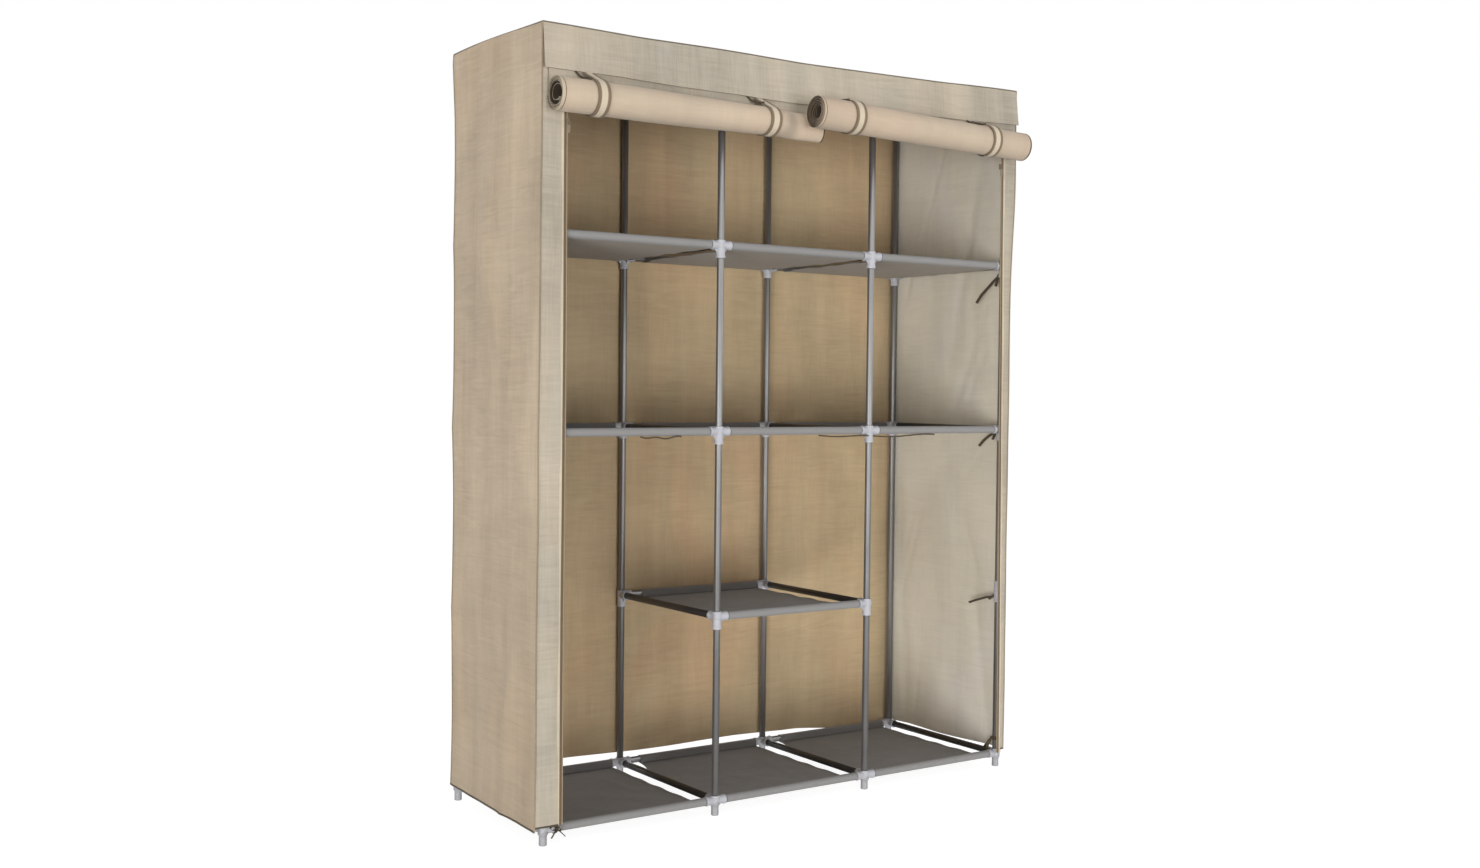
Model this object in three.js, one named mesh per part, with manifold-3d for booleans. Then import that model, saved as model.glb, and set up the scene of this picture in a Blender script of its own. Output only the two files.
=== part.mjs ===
// Portable fabric wardrobe: steel tubes in plastic connectors, cloth shelves and a cloth cover
// with two rolled-up doors. Millimetres, +Z up, front towards -Y, origin on the floor.
import * as THREE from 'three';
import { mergeVertices } from 'three/addons/utils/BufferGeometryUtils.js';
import Module from 'manifold-3d';

const wasm = await Module();
wasm.setup();

// Frame: four posts across, two rows deep, five levels of tubes
const BAY_COUNT = 3;
const BAY_PITCH = 432;
const DEPTH_PITCH = 425;
const FOOT_HEIGHT = 34;
const LEVEL_PITCH = 415;
const LEVEL = { bottom: 0, low: 1, middle: 2, upper: 3, top: 4 };

// Steel tube
const TUBE_DIAMETER = 16;
const TUBE_WALL = 0.5;
const ROUND_SIDES = 8;

// Plastic connectors, which the posts run through
const SOCKET_WALL = 2.75;
const SOCKET_REACH = 26;
const SLEEVE_WALL = 3;
const SLEEVE_DROP = 29;
const SLEEVE_RISE = 11;
const TOP_SLEEVE_RISE = 21;
const TOP_CAP_THICKNESS = 5;
const FOOT_STEP = 0.5;
const COUPLER_LENGTH = 54;
const FIT_GAP = 0.3;
const TUBE_END_GAP = 2.75;
const CUT_OVERRUN = 5;

// Cloth shelves, sewn to sleeves round the front and back tubes
const SHELF_CLOTH = 1.2;
const SHELF_END_GAP = 2;

// Cloth cover
const COVER_CLOTH = 1.5;
const COVER_BOW = 5;
const BOW_STEPS = 4;
const BOW_HEIGHT_SHARES = [0.6, 1, 0];
const SEAM_GAP = 0.3;
const ZIP_ROOM = 1.6;
const SIDE_HEM_LEFT = 36;
const SIDE_HEM_RIGHT = 46;
const BACK_HEM_LEFT = 54;
const BACK_HEM_RIGHT = 41;
const STRIP_HEM_LEFT = 42;
const STRIP_HEM_RIGHT = 36;
const STRIP_WIDTH_LEFT = 38;
const STRIP_WIDTH_RIGHT_TOP = 25;
const STRIP_WIDTH_RIGHT_FOOT = 8;
const VALANCE_DROP = 102;
const VALANCE_LEAN = 12;
const VALANCE_DROP_SHARES = [1, 1.01, 1.03, 1.02, 0.95, 0.86, 0.79];

// Zips down the inner edges of the front strips
const TAPE_WIDTH = 12;
const TAPE_THICKNESS = 1;
const TAPE_TOP_DROP = 20;
const SLIDER_WIDTH = 9;
const SLIDER_HEIGHT = 15;
const SLIDER_WALL = 1.15;
const SLIDER_SLOT = 1.7;
const SLIDER_WEB = 1.4;
const SLIDER_BELOW_AXIS = 48;
const ARCH_WIDTH = 2;
const ARCH_HEIGHT = 7.5;
const ARCH_WALL = 0.9;
const ARCH_ROOM = 2.15;
const TAB_THICKNESS = 1.2;
const TAB_WIDTH = 6.4;
const TAB_LENGTH = 24;
const TAB_BAR = 1.2;
const TAB_RAIL = 1.3;
const TAB_GRIP_START = 6;

// Rolled doors: a spiral of cloth with a tail that hangs from behind the valance
const DOOR_CLOTH = 1.2;
const ROLL_RADIUS = 36;
const ROLL_TURNS = 5;
const ROLL_PITCH = 4.2;
const STEPS_PER_TURN = 12;
const ROLL_AXIS_BELOW_TOP = 138;
const TAIL_TOP_BELOW_RAIL = 54;
const TAIL_BEND_BELOW_RAIL = 88;
const TAIL_LAYER = 19.4;
const LEFT_ROLL_OVER_POST = 9;
const LEFT_ROLL_OVER_MIDDLE = 30;
const LEFT_ROLL_FLATTENS_BEFORE_END = 142;
const LEFT_ROLL_FLAT_BEFORE_END = 70;
const LEFT_ROLL_FLAT_SHARE = 0.54;
const RIGHT_ROLL_OVER_MIDDLE = 34;
const RIGHT_ROLL_OVER_POST = 7;
const RIGHT_ROLL_BEND_AFTER_START = 144;
const RIGHT_ROLL_BENDS_BEFORE_END = [155, 95];
const RIGHT_ROLL_START_FORWARD = 48;
const RIGHT_ROLL_START_RISE = 25;
const RIGHT_ROLL_END_RISE = 19;
const TAIL_GAP = 2;

// Straps that hold the rolls up
const STRAP_WIDTH = 29;
const STRAP_CLOTH = 1.2;
const STRAP_GAP = 1.2;
const STRAP_TOP_BELOW_RAIL = 66;
const STRAP_UNDER_VALANCE = 6;
const STRAP_ARC_STEPS = 12;
const LEFT_STRAPS_FROM_ENDS = [91, 162];
const RIGHT_STRAPS_FROM_ENDS = [110, 127];

// Derived sizes
const FULL_TURN = 2 * Math.PI;
const QUARTER_TURN = Math.PI / 2;
const tubeRadius = TUBE_DIAMETER / 2;
const tubeBore = tubeRadius - TUBE_WALL;
const fitBore = tubeRadius + FIT_GAP;
const socketRadius = tubeRadius + SOCKET_WALL;
const sleeveRadius = tubeRadius + SLEEVE_WALL;
const footRadius = tubeRadius + FOOT_STEP;
const footTop = FOOT_HEIGHT - SLEEVE_RISE;
const frontRow = -DEPTH_PITCH / 2;
const backRow = DEPTH_PITCH / 2;
const levelHeight = (level) => FOOT_HEIGHT + level * LEVEL_PITCH;
const postPlace = (column) => (column - BAY_COUNT / 2) * BAY_PITCH;
const columns = Array.from({ length: BAY_COUNT + 1 }, (_, column) => column);
const railTop = levelHeight(LEVEL.top);
const leftPost = postPlace(0);
const rightPost = postPlace(BAY_COUNT);
const leftRollStart = leftPost - LEFT_ROLL_OVER_POST;
const leftRollEnd = LEFT_ROLL_OVER_MIDDLE;
const rightRollStart = -RIGHT_ROLL_OVER_MIDDLE;
const rightRollEnd = rightPost + RIGHT_ROLL_OVER_POST;

// Cover planes, outside everything that the connectors reach
const sideInner = rightPost + sleeveRadius + SEAM_GAP;
const sideOuter = sideInner + COVER_CLOTH;
const sheetEdge = sideInner - SEAM_GAP;
const frontInner = frontRow - sleeveRadius - ZIP_ROOM;
const frontOuter = frontInner - COVER_CLOTH;
const backInner = backRow + sleeveRadius + SEAM_GAP;
const coverTopUnder = railTop + TOP_SLEEVE_RISE + SEAM_GAP;
const sheetTop = coverTopUnder - SEAM_GAP;
const valanceTopInner = frontOuter - SEAM_GAP;
const zipPlane = frontInner - COVER_CLOTH / 2;

// Finishes
const finishes = {
  steel: new THREE.MeshStandardMaterial({ color: 0x56565a, roughness: 0.45, metalness: 0.35 }),
  plastic: new THREE.MeshStandardMaterial({ color: 0xc6c7cf, roughness: 0.5, metalness: 0 }),
  shelf: new THREE.MeshStandardMaterial({ color: 0x5d5958, roughness: 0.95, metalness: 0 }),
  cover: new THREE.MeshStandardMaterial({ color: 0xbcae94, roughness: 0.95, metalness: 0 }),
  door: new THREE.MeshStandardMaterial({ color: 0xcdbba2, roughness: 0.9, metalness: 0 }),
  strap: new THREE.MeshStandardMaterial({ color: 0xa8957c, roughness: 0.9, metalness: 0 }),
  tape: new THREE.MeshStandardMaterial({ color: 0x8a6a4c, roughness: 0.8, metalness: 0 }),
  zip: new THREE.MeshStandardMaterial({ color: 0x3a332c, roughness: 0.5, metalness: 0.4 }),
};

// A closed geometry with shared corners, no collapsed faces, and its faces turned outwards
function welded(geometry) {
  const bare = new THREE.BufferGeometry();
  bare.setAttribute('position', geometry.getAttribute('position').clone());
  if (geometry.index) bare.setIndex(geometry.index.clone());
  const merged = mergeVertices(bare);
  const corners = merged.getAttribute('position');
  const faces = [];
  let volume = 0;
  const [a, b, c] = [new THREE.Vector3(), new THREE.Vector3(), new THREE.Vector3()];
  for (let at = 0; at < merged.index.count; at += 3) {
    const face = [0, 1, 2].map((step) => merged.index.getX(at + step));
    if (new Set(face).size < 3) continue;
    faces.push(face);
    a.fromBufferAttribute(corners, face[0]);
    b.fromBufferAttribute(corners, face[1]);
    c.fromBufferAttribute(corners, face[2]);
    volume += a.dot(b.cross(c));
  }
  const outward = volume < 0 ? faces.map(([p, q, r]) => [p, r, q]) : faces;
  merged.setIndex(outward.flat());
  return merged;
}

function toSolid(geometry) {
  const closed = welded(geometry);
  return new wasm.Manifold(new wasm.Mesh({
    numProp: 3,
    vertProperties: new Float32Array(closed.getAttribute('position').array),
    triVerts: new Uint32Array(closed.index.array),
  }));
}

function toGeometry(solid) {
  const mesh = solid.getMesh();
  const geometry = new THREE.BufferGeometry();
  geometry.setAttribute('position', new THREE.BufferAttribute(mesh.vertProperties, 3));
  geometry.setIndex(new THREE.BufferAttribute(mesh.triVerts, 1));
  return geometry;
}

const joined = (solids) => solids.reduce((whole, solid) => whole.add(solid));
const cutBy = (solid, tools) => tools.reduce((rest, tool) => rest.subtract(tool), solid);

// A turned piece: [radius, place] pairs, revolved about the axis named
function turned(outline, axis) {
  const points = outline.map(([radius, place]) => new THREE.Vector2(radius, place));
  const geometry = new THREE.LatheGeometry(points, ROUND_SIDES);
  if (axis === 'x') geometry.rotateZ(-QUARTER_TURN);
  if (axis === 'z') geometry.rotateX(QUARTER_TURN);
  return geometry;
}

const rod = (radius, from, to, axis) => turned([[0, from], [radius, from], [radius, to], [0, to]], axis);

function pipe(outer, inner, from, to, axis) {
  return turned([[inner, from], [outer, from], [outer, to], [inner, to], [inner, from]], axis);
}

// Connector barrels of one run of tube, as solids to join and as bores to cut
function connectorParts({ place, drop, rise, boreFrom, boreTo, foot }) {
  const parts = [
    toSolid(rod(sleeveRadius, -drop, rise, 'z').translate(place, 0, 0)),
    toSolid(rod(socketRadius, 0, SOCKET_REACH, 'y').translate(place, 0, 0)),
  ];
  if (foot) parts.push(toSolid(rod(footRadius, -FOOT_HEIGHT, 0, 'z').translate(place, 0, 0)));
  const bores = [
    toSolid(rod(fitBore, boreFrom, boreTo, 'z').translate(place, 0, 0)),
    toSolid(rod(fitBore, 0, SOCKET_REACH + CUT_OVERRUN, 'y').translate(place, 0, 0)),
  ];
  return { parts, bores };
}

// Stepped bar along X: tube between the connectors, socket barrels at them
function steppedBar(places) {
  const outline = [[0, places[0]], [socketRadius, places[0]]];
  for (let bay = 0; bay < places.length - 1; bay += 1) {
    const from = places[bay] + SOCKET_REACH;
    const to = places[bay + 1] - SOCKET_REACH;
    outline.push([socketRadius, from], [tubeRadius, from], [tubeRadius, to], [socketRadius, to]);
  }
  const end = places[places.length - 1];
  outline.push([socketRadius, end], [0, end]);
  return toSolid(turned(outline, 'x'));
}

function railSolid(railColumns, upright) {
  const places = railColumns.map(postPlace);
  const sets = places.map((place) => connectorParts({ place, ...upright }));
  const solid = joined([steppedBar(places), ...sets.flatMap((set) => set.parts)]);
  const tubeCut = toSolid(rod(tubeBore, places[0], places[places.length - 1], 'x'));
  return { solid, bores: [tubeCut, ...sets.flatMap((set) => set.bores)] };
}

const throughSleeve = {
  drop: SLEEVE_DROP,
  rise: SLEEVE_RISE,
  boreFrom: -SLEEVE_DROP - CUT_OVERRUN,
  boreTo: SLEEVE_RISE + CUT_OVERRUN,
};
const footedSleeve = {
  drop: SLEEVE_RISE,
  rise: SLEEVE_RISE,
  boreFrom: -SLEEVE_RISE,
  boreTo: SLEEVE_RISE + CUT_OVERRUN,
  foot: true,
};
const cappedSleeve = {
  drop: SLEEVE_DROP,
  rise: TOP_SLEEVE_RISE,
  boreFrom: -SLEEVE_DROP - CUT_OVERRUN,
  boreTo: TOP_SLEEVE_RISE - TOP_CAP_THICKNESS,
};

function railGeometry(railColumns, upright) {
  const { solid, bores } = railSolid(railColumns, upright);
  return toGeometry(cutBy(solid, bores));
}

// The two top rails and the tubes between them, hidden under the cover; all are fast in their sockets
function topFrameGeometry() {
  const halves = [[0, frontRow], [Math.PI, backRow]].map(([turn, row]) => (
    railSolid(columns, cappedSleeve).solid
      .rotate([0, 0, THREE.MathUtils.radToDeg(turn)])
      .translate([0, row, 0])
  ));
  const places = columns.map(postPlace);
  const tubes = places.map((place) => toSolid(rod(tubeRadius, frontRow, backRow, 'y').translate(place, 0, 0)));
  const tubeCuts = places.map((place) => toSolid(rod(tubeBore, frontRow, backRow, 'y').translate(place, 0, 0)));
  const railCuts = [frontRow, backRow].flatMap((row) => [
    toSolid(rod(tubeBore, leftPost, rightPost, 'x').translate(0, row, 0)),
    ...places.map((place) => (
      toSolid(rod(fitBore, cappedSleeve.boreFrom, cappedSleeve.boreTo, 'z').translate(place, row, 0))
    )),
  ]);
  return toGeometry(cutBy(joined([...halves, ...tubes]), [...tubeCuts, ...railCuts]));
}

// Post: one hollow tube from the foot to the top cap; the outer front ones carry a straight coupler
function postGeometry(hasCoupler) {
  const from = footTop + FIT_GAP;
  const to = railTop + cappedSleeve.boreTo - FIT_GAP;
  if (!hasCoupler) return pipe(tubeRadius, tubeBore, from, to, 'z');
  const middle = levelHeight(LEVEL.low);
  const couplerFrom = middle - COUPLER_LENGTH / 2;
  const couplerTo = middle + COUPLER_LENGTH / 2;
  return turned([
    [tubeBore, from], [tubeRadius, from],
    [tubeRadius, couplerFrom], [socketRadius, couplerFrom],
    [socketRadius, couplerTo], [tubeRadius, couplerTo],
    [tubeRadius, to], [tubeBore, to], [tubeBore, from],
  ], 'z');
}

function depthTubeGeometry() {
  const reach = backRow - fitBore - TUBE_END_GAP;
  return pipe(tubeRadius, tubeBore, -reach, reach, 'y');
}

// Shelf: flat cloth at the height of the sleeves' feet, with a sleeve round each tube
function shelfGeometry() {
  const outer = fitBore + SHELF_CLOTH;
  const halfWidth = BAY_PITCH / 2 - SOCKET_REACH - SHELF_END_GAP;
  const web = new THREE.BoxGeometry(2 * halfWidth, DEPTH_PITCH, SHELF_CLOTH);
  web.translate(0, 0, SHELF_CLOTH / 2 - outer);
  const barrels = [frontRow, backRow].map((row) => (
    toSolid(rod(outer, -halfWidth, halfWidth, 'x').translate(0, row, 0))
  ));
  const cuts = [frontRow, backRow].map((row) => (
    toSolid(rod(fitBore, -halfWidth - CUT_OVERRUN, halfWidth + CUT_OVERRUN, 'x').translate(0, row, 0))
  ));
  return toGeometry(cutBy(joined([toSolid(web), ...barrels]), cuts));
}

// A body of cloth over a grid: pairAt(i, j) gives its two facing points at each place
function clothBody(alongCount, acrossCount, pairAt) {
  const positions = [];
  for (let i = 0; i <= alongCount; i += 1) {
    for (let j = 0; j <= acrossCount; j += 1) {
      pairAt(i, j).forEach((point) => positions.push(...point));
    }
  }
  const at = (i, j, side) => 2 * (i * (acrossCount + 1) + j) + side;
  const faces = [];
  const quad = (p, q, r, s) => faces.push(p, q, r, p, r, s);
  for (let i = 0; i < alongCount; i += 1) {
    for (let j = 0; j < acrossCount; j += 1) {
      quad(at(i, j, 0), at(i + 1, j, 0), at(i + 1, j + 1, 0), at(i, j + 1, 0));
      quad(at(i, j, 1), at(i, j + 1, 1), at(i + 1, j + 1, 1), at(i + 1, j, 1));
    }
  }
  for (let i = 0; i < alongCount; i += 1) {
    quad(at(i, 0, 0), at(i, 0, 1), at(i + 1, 0, 1), at(i + 1, 0, 0));
    quad(at(i, acrossCount, 0), at(i + 1, acrossCount, 0), at(i + 1, acrossCount, 1), at(i, acrossCount, 1));
  }
  for (let j = 0; j < acrossCount; j += 1) {
    quad(at(0, j, 0), at(0, j + 1, 0), at(0, j + 1, 1), at(0, j, 1));
    quad(at(alongCount, j, 0), at(alongCount, j, 1), at(alongCount, j + 1, 1), at(alongCount, j + 1, 0));
  }
  const geometry = new THREE.BufferGeometry();
  geometry.setAttribute('position', new THREE.Float32BufferAttribute(positions, 3));
  geometry.setIndex(faces);
  return geometry;
}

const mix = THREE.MathUtils.lerp;

// How far the cloth stands out between two posts, none at the posts or along the top seam
const bowRows = BOW_HEIGHT_SHARES.length - 1;
const bowAt = (share, row) => COVER_BOW * BOW_HEIGHT_SHARES[row] * Math.abs(Math.sin(Math.PI * share));

function coverTopGeometry() {
  const front = frontOuter - SEAM_GAP - COVER_CLOTH;
  const back = backInner + COVER_CLOTH;
  const geometry = new THREE.BoxGeometry(2 * sideOuter, back - front, COVER_CLOTH);
  return geometry.translate(0, (front + back) / 2, coverTopUnder + COVER_CLOTH / 2);
}

function coverBackGeometry() {
  const steps = BAY_COUNT * BOW_STEPS;
  return clothBody(steps, bowRows, (i, j) => {
    const x = mix(-sheetEdge, sheetEdge, i / steps);
    const hem = mix(BACK_HEM_LEFT, BACK_HEM_RIGHT, i / steps);
    const inner = backInner + bowAt(i / BOW_STEPS, j);
    const z = mix(hem, sheetTop, j / bowRows);
    return [[x, inner, z], [x, inner + COVER_CLOTH, z]];
  });
}

function coverSideGeometry(side, hem) {
  return clothBody(BOW_STEPS, bowRows, (i, j) => {
    const y = mix(frontOuter, backInner + COVER_CLOTH, i / BOW_STEPS);
    const inner = sideInner + bowAt(i / BOW_STEPS, j);
    const z = mix(hem, sheetTop, j / bowRows);
    return [[side * inner, y, z], [side * (inner + COVER_CLOTH), y, z]];
  });
}

// The front strips beside the opening; the right one is pulled round its corner towards the foot
const leftStrip = {
  side: -1,
  widthTop: STRIP_WIDTH_LEFT,
  widthFoot: STRIP_WIDTH_LEFT,
  hem: STRIP_HEM_LEFT,
};
const rightStrip = {
  side: 1,
  widthTop: STRIP_WIDTH_RIGHT_TOP,
  widthFoot: STRIP_WIDTH_RIGHT_FOOT,
  hem: STRIP_HEM_RIGHT,
};

// Inner edge of a strip, where its zip runs: distance from the middle plane at a height
function stripEdgeAt(strip, z) {
  const share = (z - strip.hem) / (sheetTop - strip.hem);
  return sheetEdge - mix(strip.widthFoot, strip.widthTop, share);
}

function stripGeometry(strip) {
  return clothBody(1, 1, (i, j) => {
    const z = mix(strip.hem, sheetTop, j);
    const x = strip.side * mix(sheetEdge, stripEdgeAt(strip, z), i);
    return [[x, frontInner, z], [x, frontOuter, z]];
  });
}

// Valance: it leans forward as it comes down, over the tails of the doors
const valanceInnerAt = (z) => valanceTopInner - VALANCE_LEAN * ((sheetTop - z) / VALANCE_DROP);

function valanceFootAt(x) {
  const steps = VALANCE_DROP_SHARES.length - 1;
  const place = ((x + sheetEdge) / (2 * sheetEdge)) * steps;
  const from = Math.min(Math.floor(place), steps - 1);
  const share = mix(VALANCE_DROP_SHARES[from], VALANCE_DROP_SHARES[from + 1], place - from);
  return sheetTop - VALANCE_DROP * share;
}

function valanceGeometry() {
  const steps = VALANCE_DROP_SHARES.length - 1;
  return clothBody(steps, 1, (i, j) => {
    const x = mix(-sheetEdge, sheetEdge, i / steps);
    const z = mix(sheetTop, sheetTop - VALANCE_DROP * VALANCE_DROP_SHARES[i], j);
    const inner = valanceInnerAt(z);
    return [[x, inner, z], [x, inner - COVER_CLOTH, z]];
  });
}

function zipTapeGeometry(strip) {
  const top = sheetTop - TAPE_TOP_DROP;
  return clothBody(1, 1, (i, j) => {
    const z = mix(strip.hem, top, j);
    const x = strip.side * (stripEdgeAt(strip, z) - SEAM_GAP - TAPE_WIDTH * i);
    const front = zipPlane - TAPE_THICKNESS / 2;
    return [[x, front, z], [x, front + TAPE_THICKNESS, z]];
  });
}

// Zip slider: two plates and a web between them, with an arch in front for the pull tab
function sliderGeometry() {
  const halfDepth = SLIDER_SLOT / 2 + SLIDER_WALL;
  const plate = () => new THREE.BoxGeometry(SLIDER_WIDTH, SLIDER_WALL, SLIDER_HEIGHT);
  const plateOffset = halfDepth - SLIDER_WALL / 2;
  const archDepth = SLIDER_WALL / 2 + ARCH_ROOM + ARCH_WALL;
  const archMiddle = halfDepth + ARCH_ROOM + ARCH_WALL - archDepth / 2;
  const arch = new THREE.BoxGeometry(ARCH_WIDTH, archDepth, ARCH_HEIGHT);
  const archCut = new THREE.BoxGeometry(ARCH_WIDTH + CUT_OVERRUN, ARCH_ROOM, ARCH_HEIGHT - 2 * ARCH_WALL);
  const body = joined([
    toSolid(plate().translate(0, plateOffset, 0)),
    toSolid(plate().translate(0, -plateOffset, 0)),
    toSolid(new THREE.BoxGeometry(SLIDER_WEB, 2 * plateOffset, SLIDER_HEIGHT)),
    toSolid(arch.translate(0, -archMiddle, 0)),
  ]);
  return toGeometry(cutBy(body, [toSolid(archCut.translate(0, -halfDepth - ARCH_ROOM / 2, 0))]));
}

// Pull tab: a flat grip on two rails and a bar; the bar lies in the slider's arch, at the origin
function tabGeometry() {
  const halfWidth = TAB_WIDTH / 2;
  const top = TAB_BAR / 2;
  const foot = top - TAB_LENGTH;
  const plate = new THREE.Shape([
    new THREE.Vector2(-halfWidth, foot),
    new THREE.Vector2(halfWidth, foot),
    new THREE.Vector2(halfWidth, top),
    new THREE.Vector2(-halfWidth, top),
  ]);
  const windowHalf = halfWidth - TAB_RAIL;
  plate.holes.push(new THREE.Path([
    new THREE.Vector2(-windowHalf, -TAB_GRIP_START),
    new THREE.Vector2(-windowHalf, -TAB_BAR / 2),
    new THREE.Vector2(windowHalf, -TAB_BAR / 2),
    new THREE.Vector2(windowHalf, -TAB_GRIP_START),
  ]));
  const geometry = new THREE.ExtrudeGeometry(plate, { depth: TAB_THICKNESS, bevelEnabled: false });
  return geometry.translate(0, 0, -TAB_THICKNESS / 2).rotateX(QUARTER_TURN);
}

// Rolls: at each place along X a roll has its centre, and its depth as a share of its height
const rollCentreDepth = frontRow - TAIL_LAYER - ROLL_RADIUS;
const leftRollAxis = railTop - ROLL_AXIS_BELOW_TOP;

const flattensFrom = leftRollEnd - LEFT_ROLL_FLATTENS_BEFORE_END;
const flatFrom = leftRollEnd - LEFT_ROLL_FLAT_BEFORE_END;

const leftRoll = {
  tailStart: leftRollStart,
  stations: [leftRollStart, flattensFrom, flatFrom, leftRollEnd],
  straps: [leftRollStart + LEFT_STRAPS_FROM_ENDS[0], leftRollEnd - LEFT_STRAPS_FROM_ENDS[1]],
  sectionAt(x) {
    const flatten = THREE.MathUtils.clamp((x - flattensFrom) / (flatFrom - flattensFrom), 0, 1);
    const share = mix(1, LEFT_ROLL_FLAT_SHARE, flatten);
    return { y: frontRow - TAIL_LAYER - ROLL_RADIUS * share, z: leftRollAxis, share };
  },
};

const rightRoll = {
  tailStart: leftRollEnd + TAIL_GAP,
  stations: [
    rightRollStart,
    rightRollStart + RIGHT_ROLL_BEND_AFTER_START,
    ...RIGHT_ROLL_BENDS_BEFORE_END.map((before) => rightRollEnd - before),
    rightRollEnd,
  ],
  straps: [rightRollStart + RIGHT_STRAPS_FROM_ENDS[0], rightRollEnd - RIGHT_STRAPS_FROM_ENDS[1]],
  sectionAt(x) {
    const along = (x - rightRollStart) / (rightRollEnd - rightRollStart);
    const forward = mix(RIGHT_ROLL_START_FORWARD, 0, along);
    const rise = mix(RIGHT_ROLL_START_RISE, RIGHT_ROLL_END_RISE, along);
    return { y: rollCentreDepth - forward, z: leftRollAxis + rise, share: 1 };
  },
};

// Angle, about a circle's centre, where a line from a point touches it; 0 is the back, a quarter turn the top
function touchAngle(section, radius, y, z, sense) {
  const [dy, dz] = [(y - section.y) / section.share, z - section.z];
  return Math.atan2(dz, dy) + sense * Math.acos(radius / Math.hypot(dy, dz));
}

function aroundRoll(section, radius, angle) {
  return [section.y + section.share * radius * Math.cos(angle), section.z + radius * Math.sin(angle)];
}

const ANGLE_MARGIN = 1e-6;

// Middle line of a door's cloth in the YZ plane, from its top edge down and round the roll, and how many
// of its corners belong to the tail: its top, its bend and those on the straight before it meets the roll
function doorLine(section) {
  const tailDepth = frontRow - TAIL_LAYER;
  const bend = [tailDepth, railTop - TAIL_BEND_BELOW_RAIL];
  const leave = touchAngle(section, ROLL_RADIUS, ...bend, -1);
  const meet = aroundRoll(section, ROLL_RADIUS, leave);
  const before = Math.ceil((-leave / FULL_TURN) * STEPS_PER_TURN - ANGLE_MARGIN);
  const line = [[tailDepth, railTop - TAIL_TOP_BELOW_RAIL], bend];
  for (let step = 0; step <= ROLL_TURNS * STEPS_PER_TURN; step += 1) {
    const turn = step / STEPS_PER_TURN;
    const share = (step + 1) / (before + 1);
    line.push(step < before
      ? [mix(bend[0], meet[0], share), mix(bend[1], meet[1], share)]
      : aroundRoll(section, ROLL_RADIUS - ROLL_PITCH * turn, -FULL_TURN * turn));
  }
  return { line, tailCorners: before + 2 };
}

// The two faces of a cloth of a thickness whose middle follows a line: points beside each corner
function facesOf(line, thickness) {
  const directions = line.map((point, at) => {
    const before = line[Math.max(at - 1, 0)];
    const after = line[Math.min(at + 1, line.length - 1)];
    const along = new THREE.Vector2(after[0] - before[0], after[1] - before[1]).normalize();
    return [-along.y, along.x];
  });
  return line.map(([y, z], at) => {
    const [ny, nz] = directions[at];
    const half = thickness / 2;
    return [[y + ny * half, z + nz * half], [y - ny * half, z - nz * half]];
  });
}

// A band of cloth along X between stations: at each, the x and the YZ place of every corner of its line
function bandGeometry(stations, thickness) {
  const faces = stations.map(({ line }) => facesOf(line, thickness));
  return clothBody(stations.length - 1, faces[0].length - 1, (i, j) => (
    faces[i][j].map(([y, z]) => [stations[i].xs[j], y, z])
  ));
}

// The tail keeps beside the other roll, and the rest of the cloth reaches the roll's end
function doorStation(roll, x) {
  const tailX = Math.max(x, roll.tailStart);
  const { line, tailCorners } = doorLine(roll.sectionAt(x));
  const tail = doorLine(roll.sectionAt(tailX)).line.slice(0, tailCorners);
  return {
    line: [...tail, ...line.slice(tailCorners)],
    xs: line.map((_, at) => (at < tailCorners ? tailX : x)),
  };
}

const doorGeometry = (roll) => bandGeometry(roll.stations.map((x) => doorStation(roll, x)), DOOR_CLOTH);

// Strap line: sewn behind the valance, it comes out under it, goes round the roll and up behind the tail
function strapLine(section, x) {
  const offset = DOOR_CLOTH / 2 + STRAP_GAP + STRAP_CLOTH / 2;
  const radius = ROLL_RADIUS + offset;
  const backDepth = frontRow - TAIL_LAYER + offset;
  const top = railTop - STRAP_TOP_BELOW_RAIL + (section.z - leftRollAxis) / 2;
  const out = valanceFootAt(x) - STRAP_UNDER_VALANCE;
  const armDepthAt = (z) => valanceInnerAt(z) + SEAM_GAP + STRAP_CLOTH / 2;
  const tailBend = railTop - TAIL_BEND_BELOW_RAIL;
  const tailLeave = touchAngle(section, ROLL_RADIUS, frontRow - TAIL_LAYER, tailBend, -1);
  const backBend = tailBend - offset * Math.tan(-tailLeave / 2);
  const from = touchAngle(section, radius, armDepthAt(out), out, 1);
  const to = touchAngle(section, radius, backDepth, backBend, -1) + FULL_TURN;
  const line = [[armDepthAt(top), top], [armDepthAt(out), out]];
  for (let step = 0; step <= STRAP_ARC_STEPS; step += 1) {
    line.push(aroundRoll(section, radius, mix(from, to, step / STRAP_ARC_STEPS)));
  }
  line.push([backDepth, backBend], [backDepth, top]);
  return line;
}

function strapGeometry(roll, place) {
  const stations = [place - STRAP_WIDTH / 2, place + STRAP_WIDTH / 2];
  return bandGeometry(stations.map((x) => {
    const line = strapLine(roll.sectionAt(x), x);
    return { line, xs: line.map(() => x) };
  }), STRAP_CLOTH);
}

// Least clear distance between a roll's own turns, measured on the corners of its middle line
function leastGap(roll) {
  let least = Infinity;
  roll.stations.forEach((x) => {
    const line = doorStation(roll, x).line.map(([y, z]) => new THREE.Vector3(0, y, z));
    const nearest = new THREE.Vector3();
    line.forEach((point, at) => {
      for (let next = at + STEPS_PER_TURN / 2; next < line.length - 1; next += 1) {
        new THREE.Line3(line[next], line[next + 1]).closestPointToPoint(point, true, nearest);
        least = Math.min(least, nearest.distanceTo(point) - DOOR_CLOTH);
      }
    });
  });
  return least;
}

// Assembly
const wardrobe = new THREE.Group();

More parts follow.
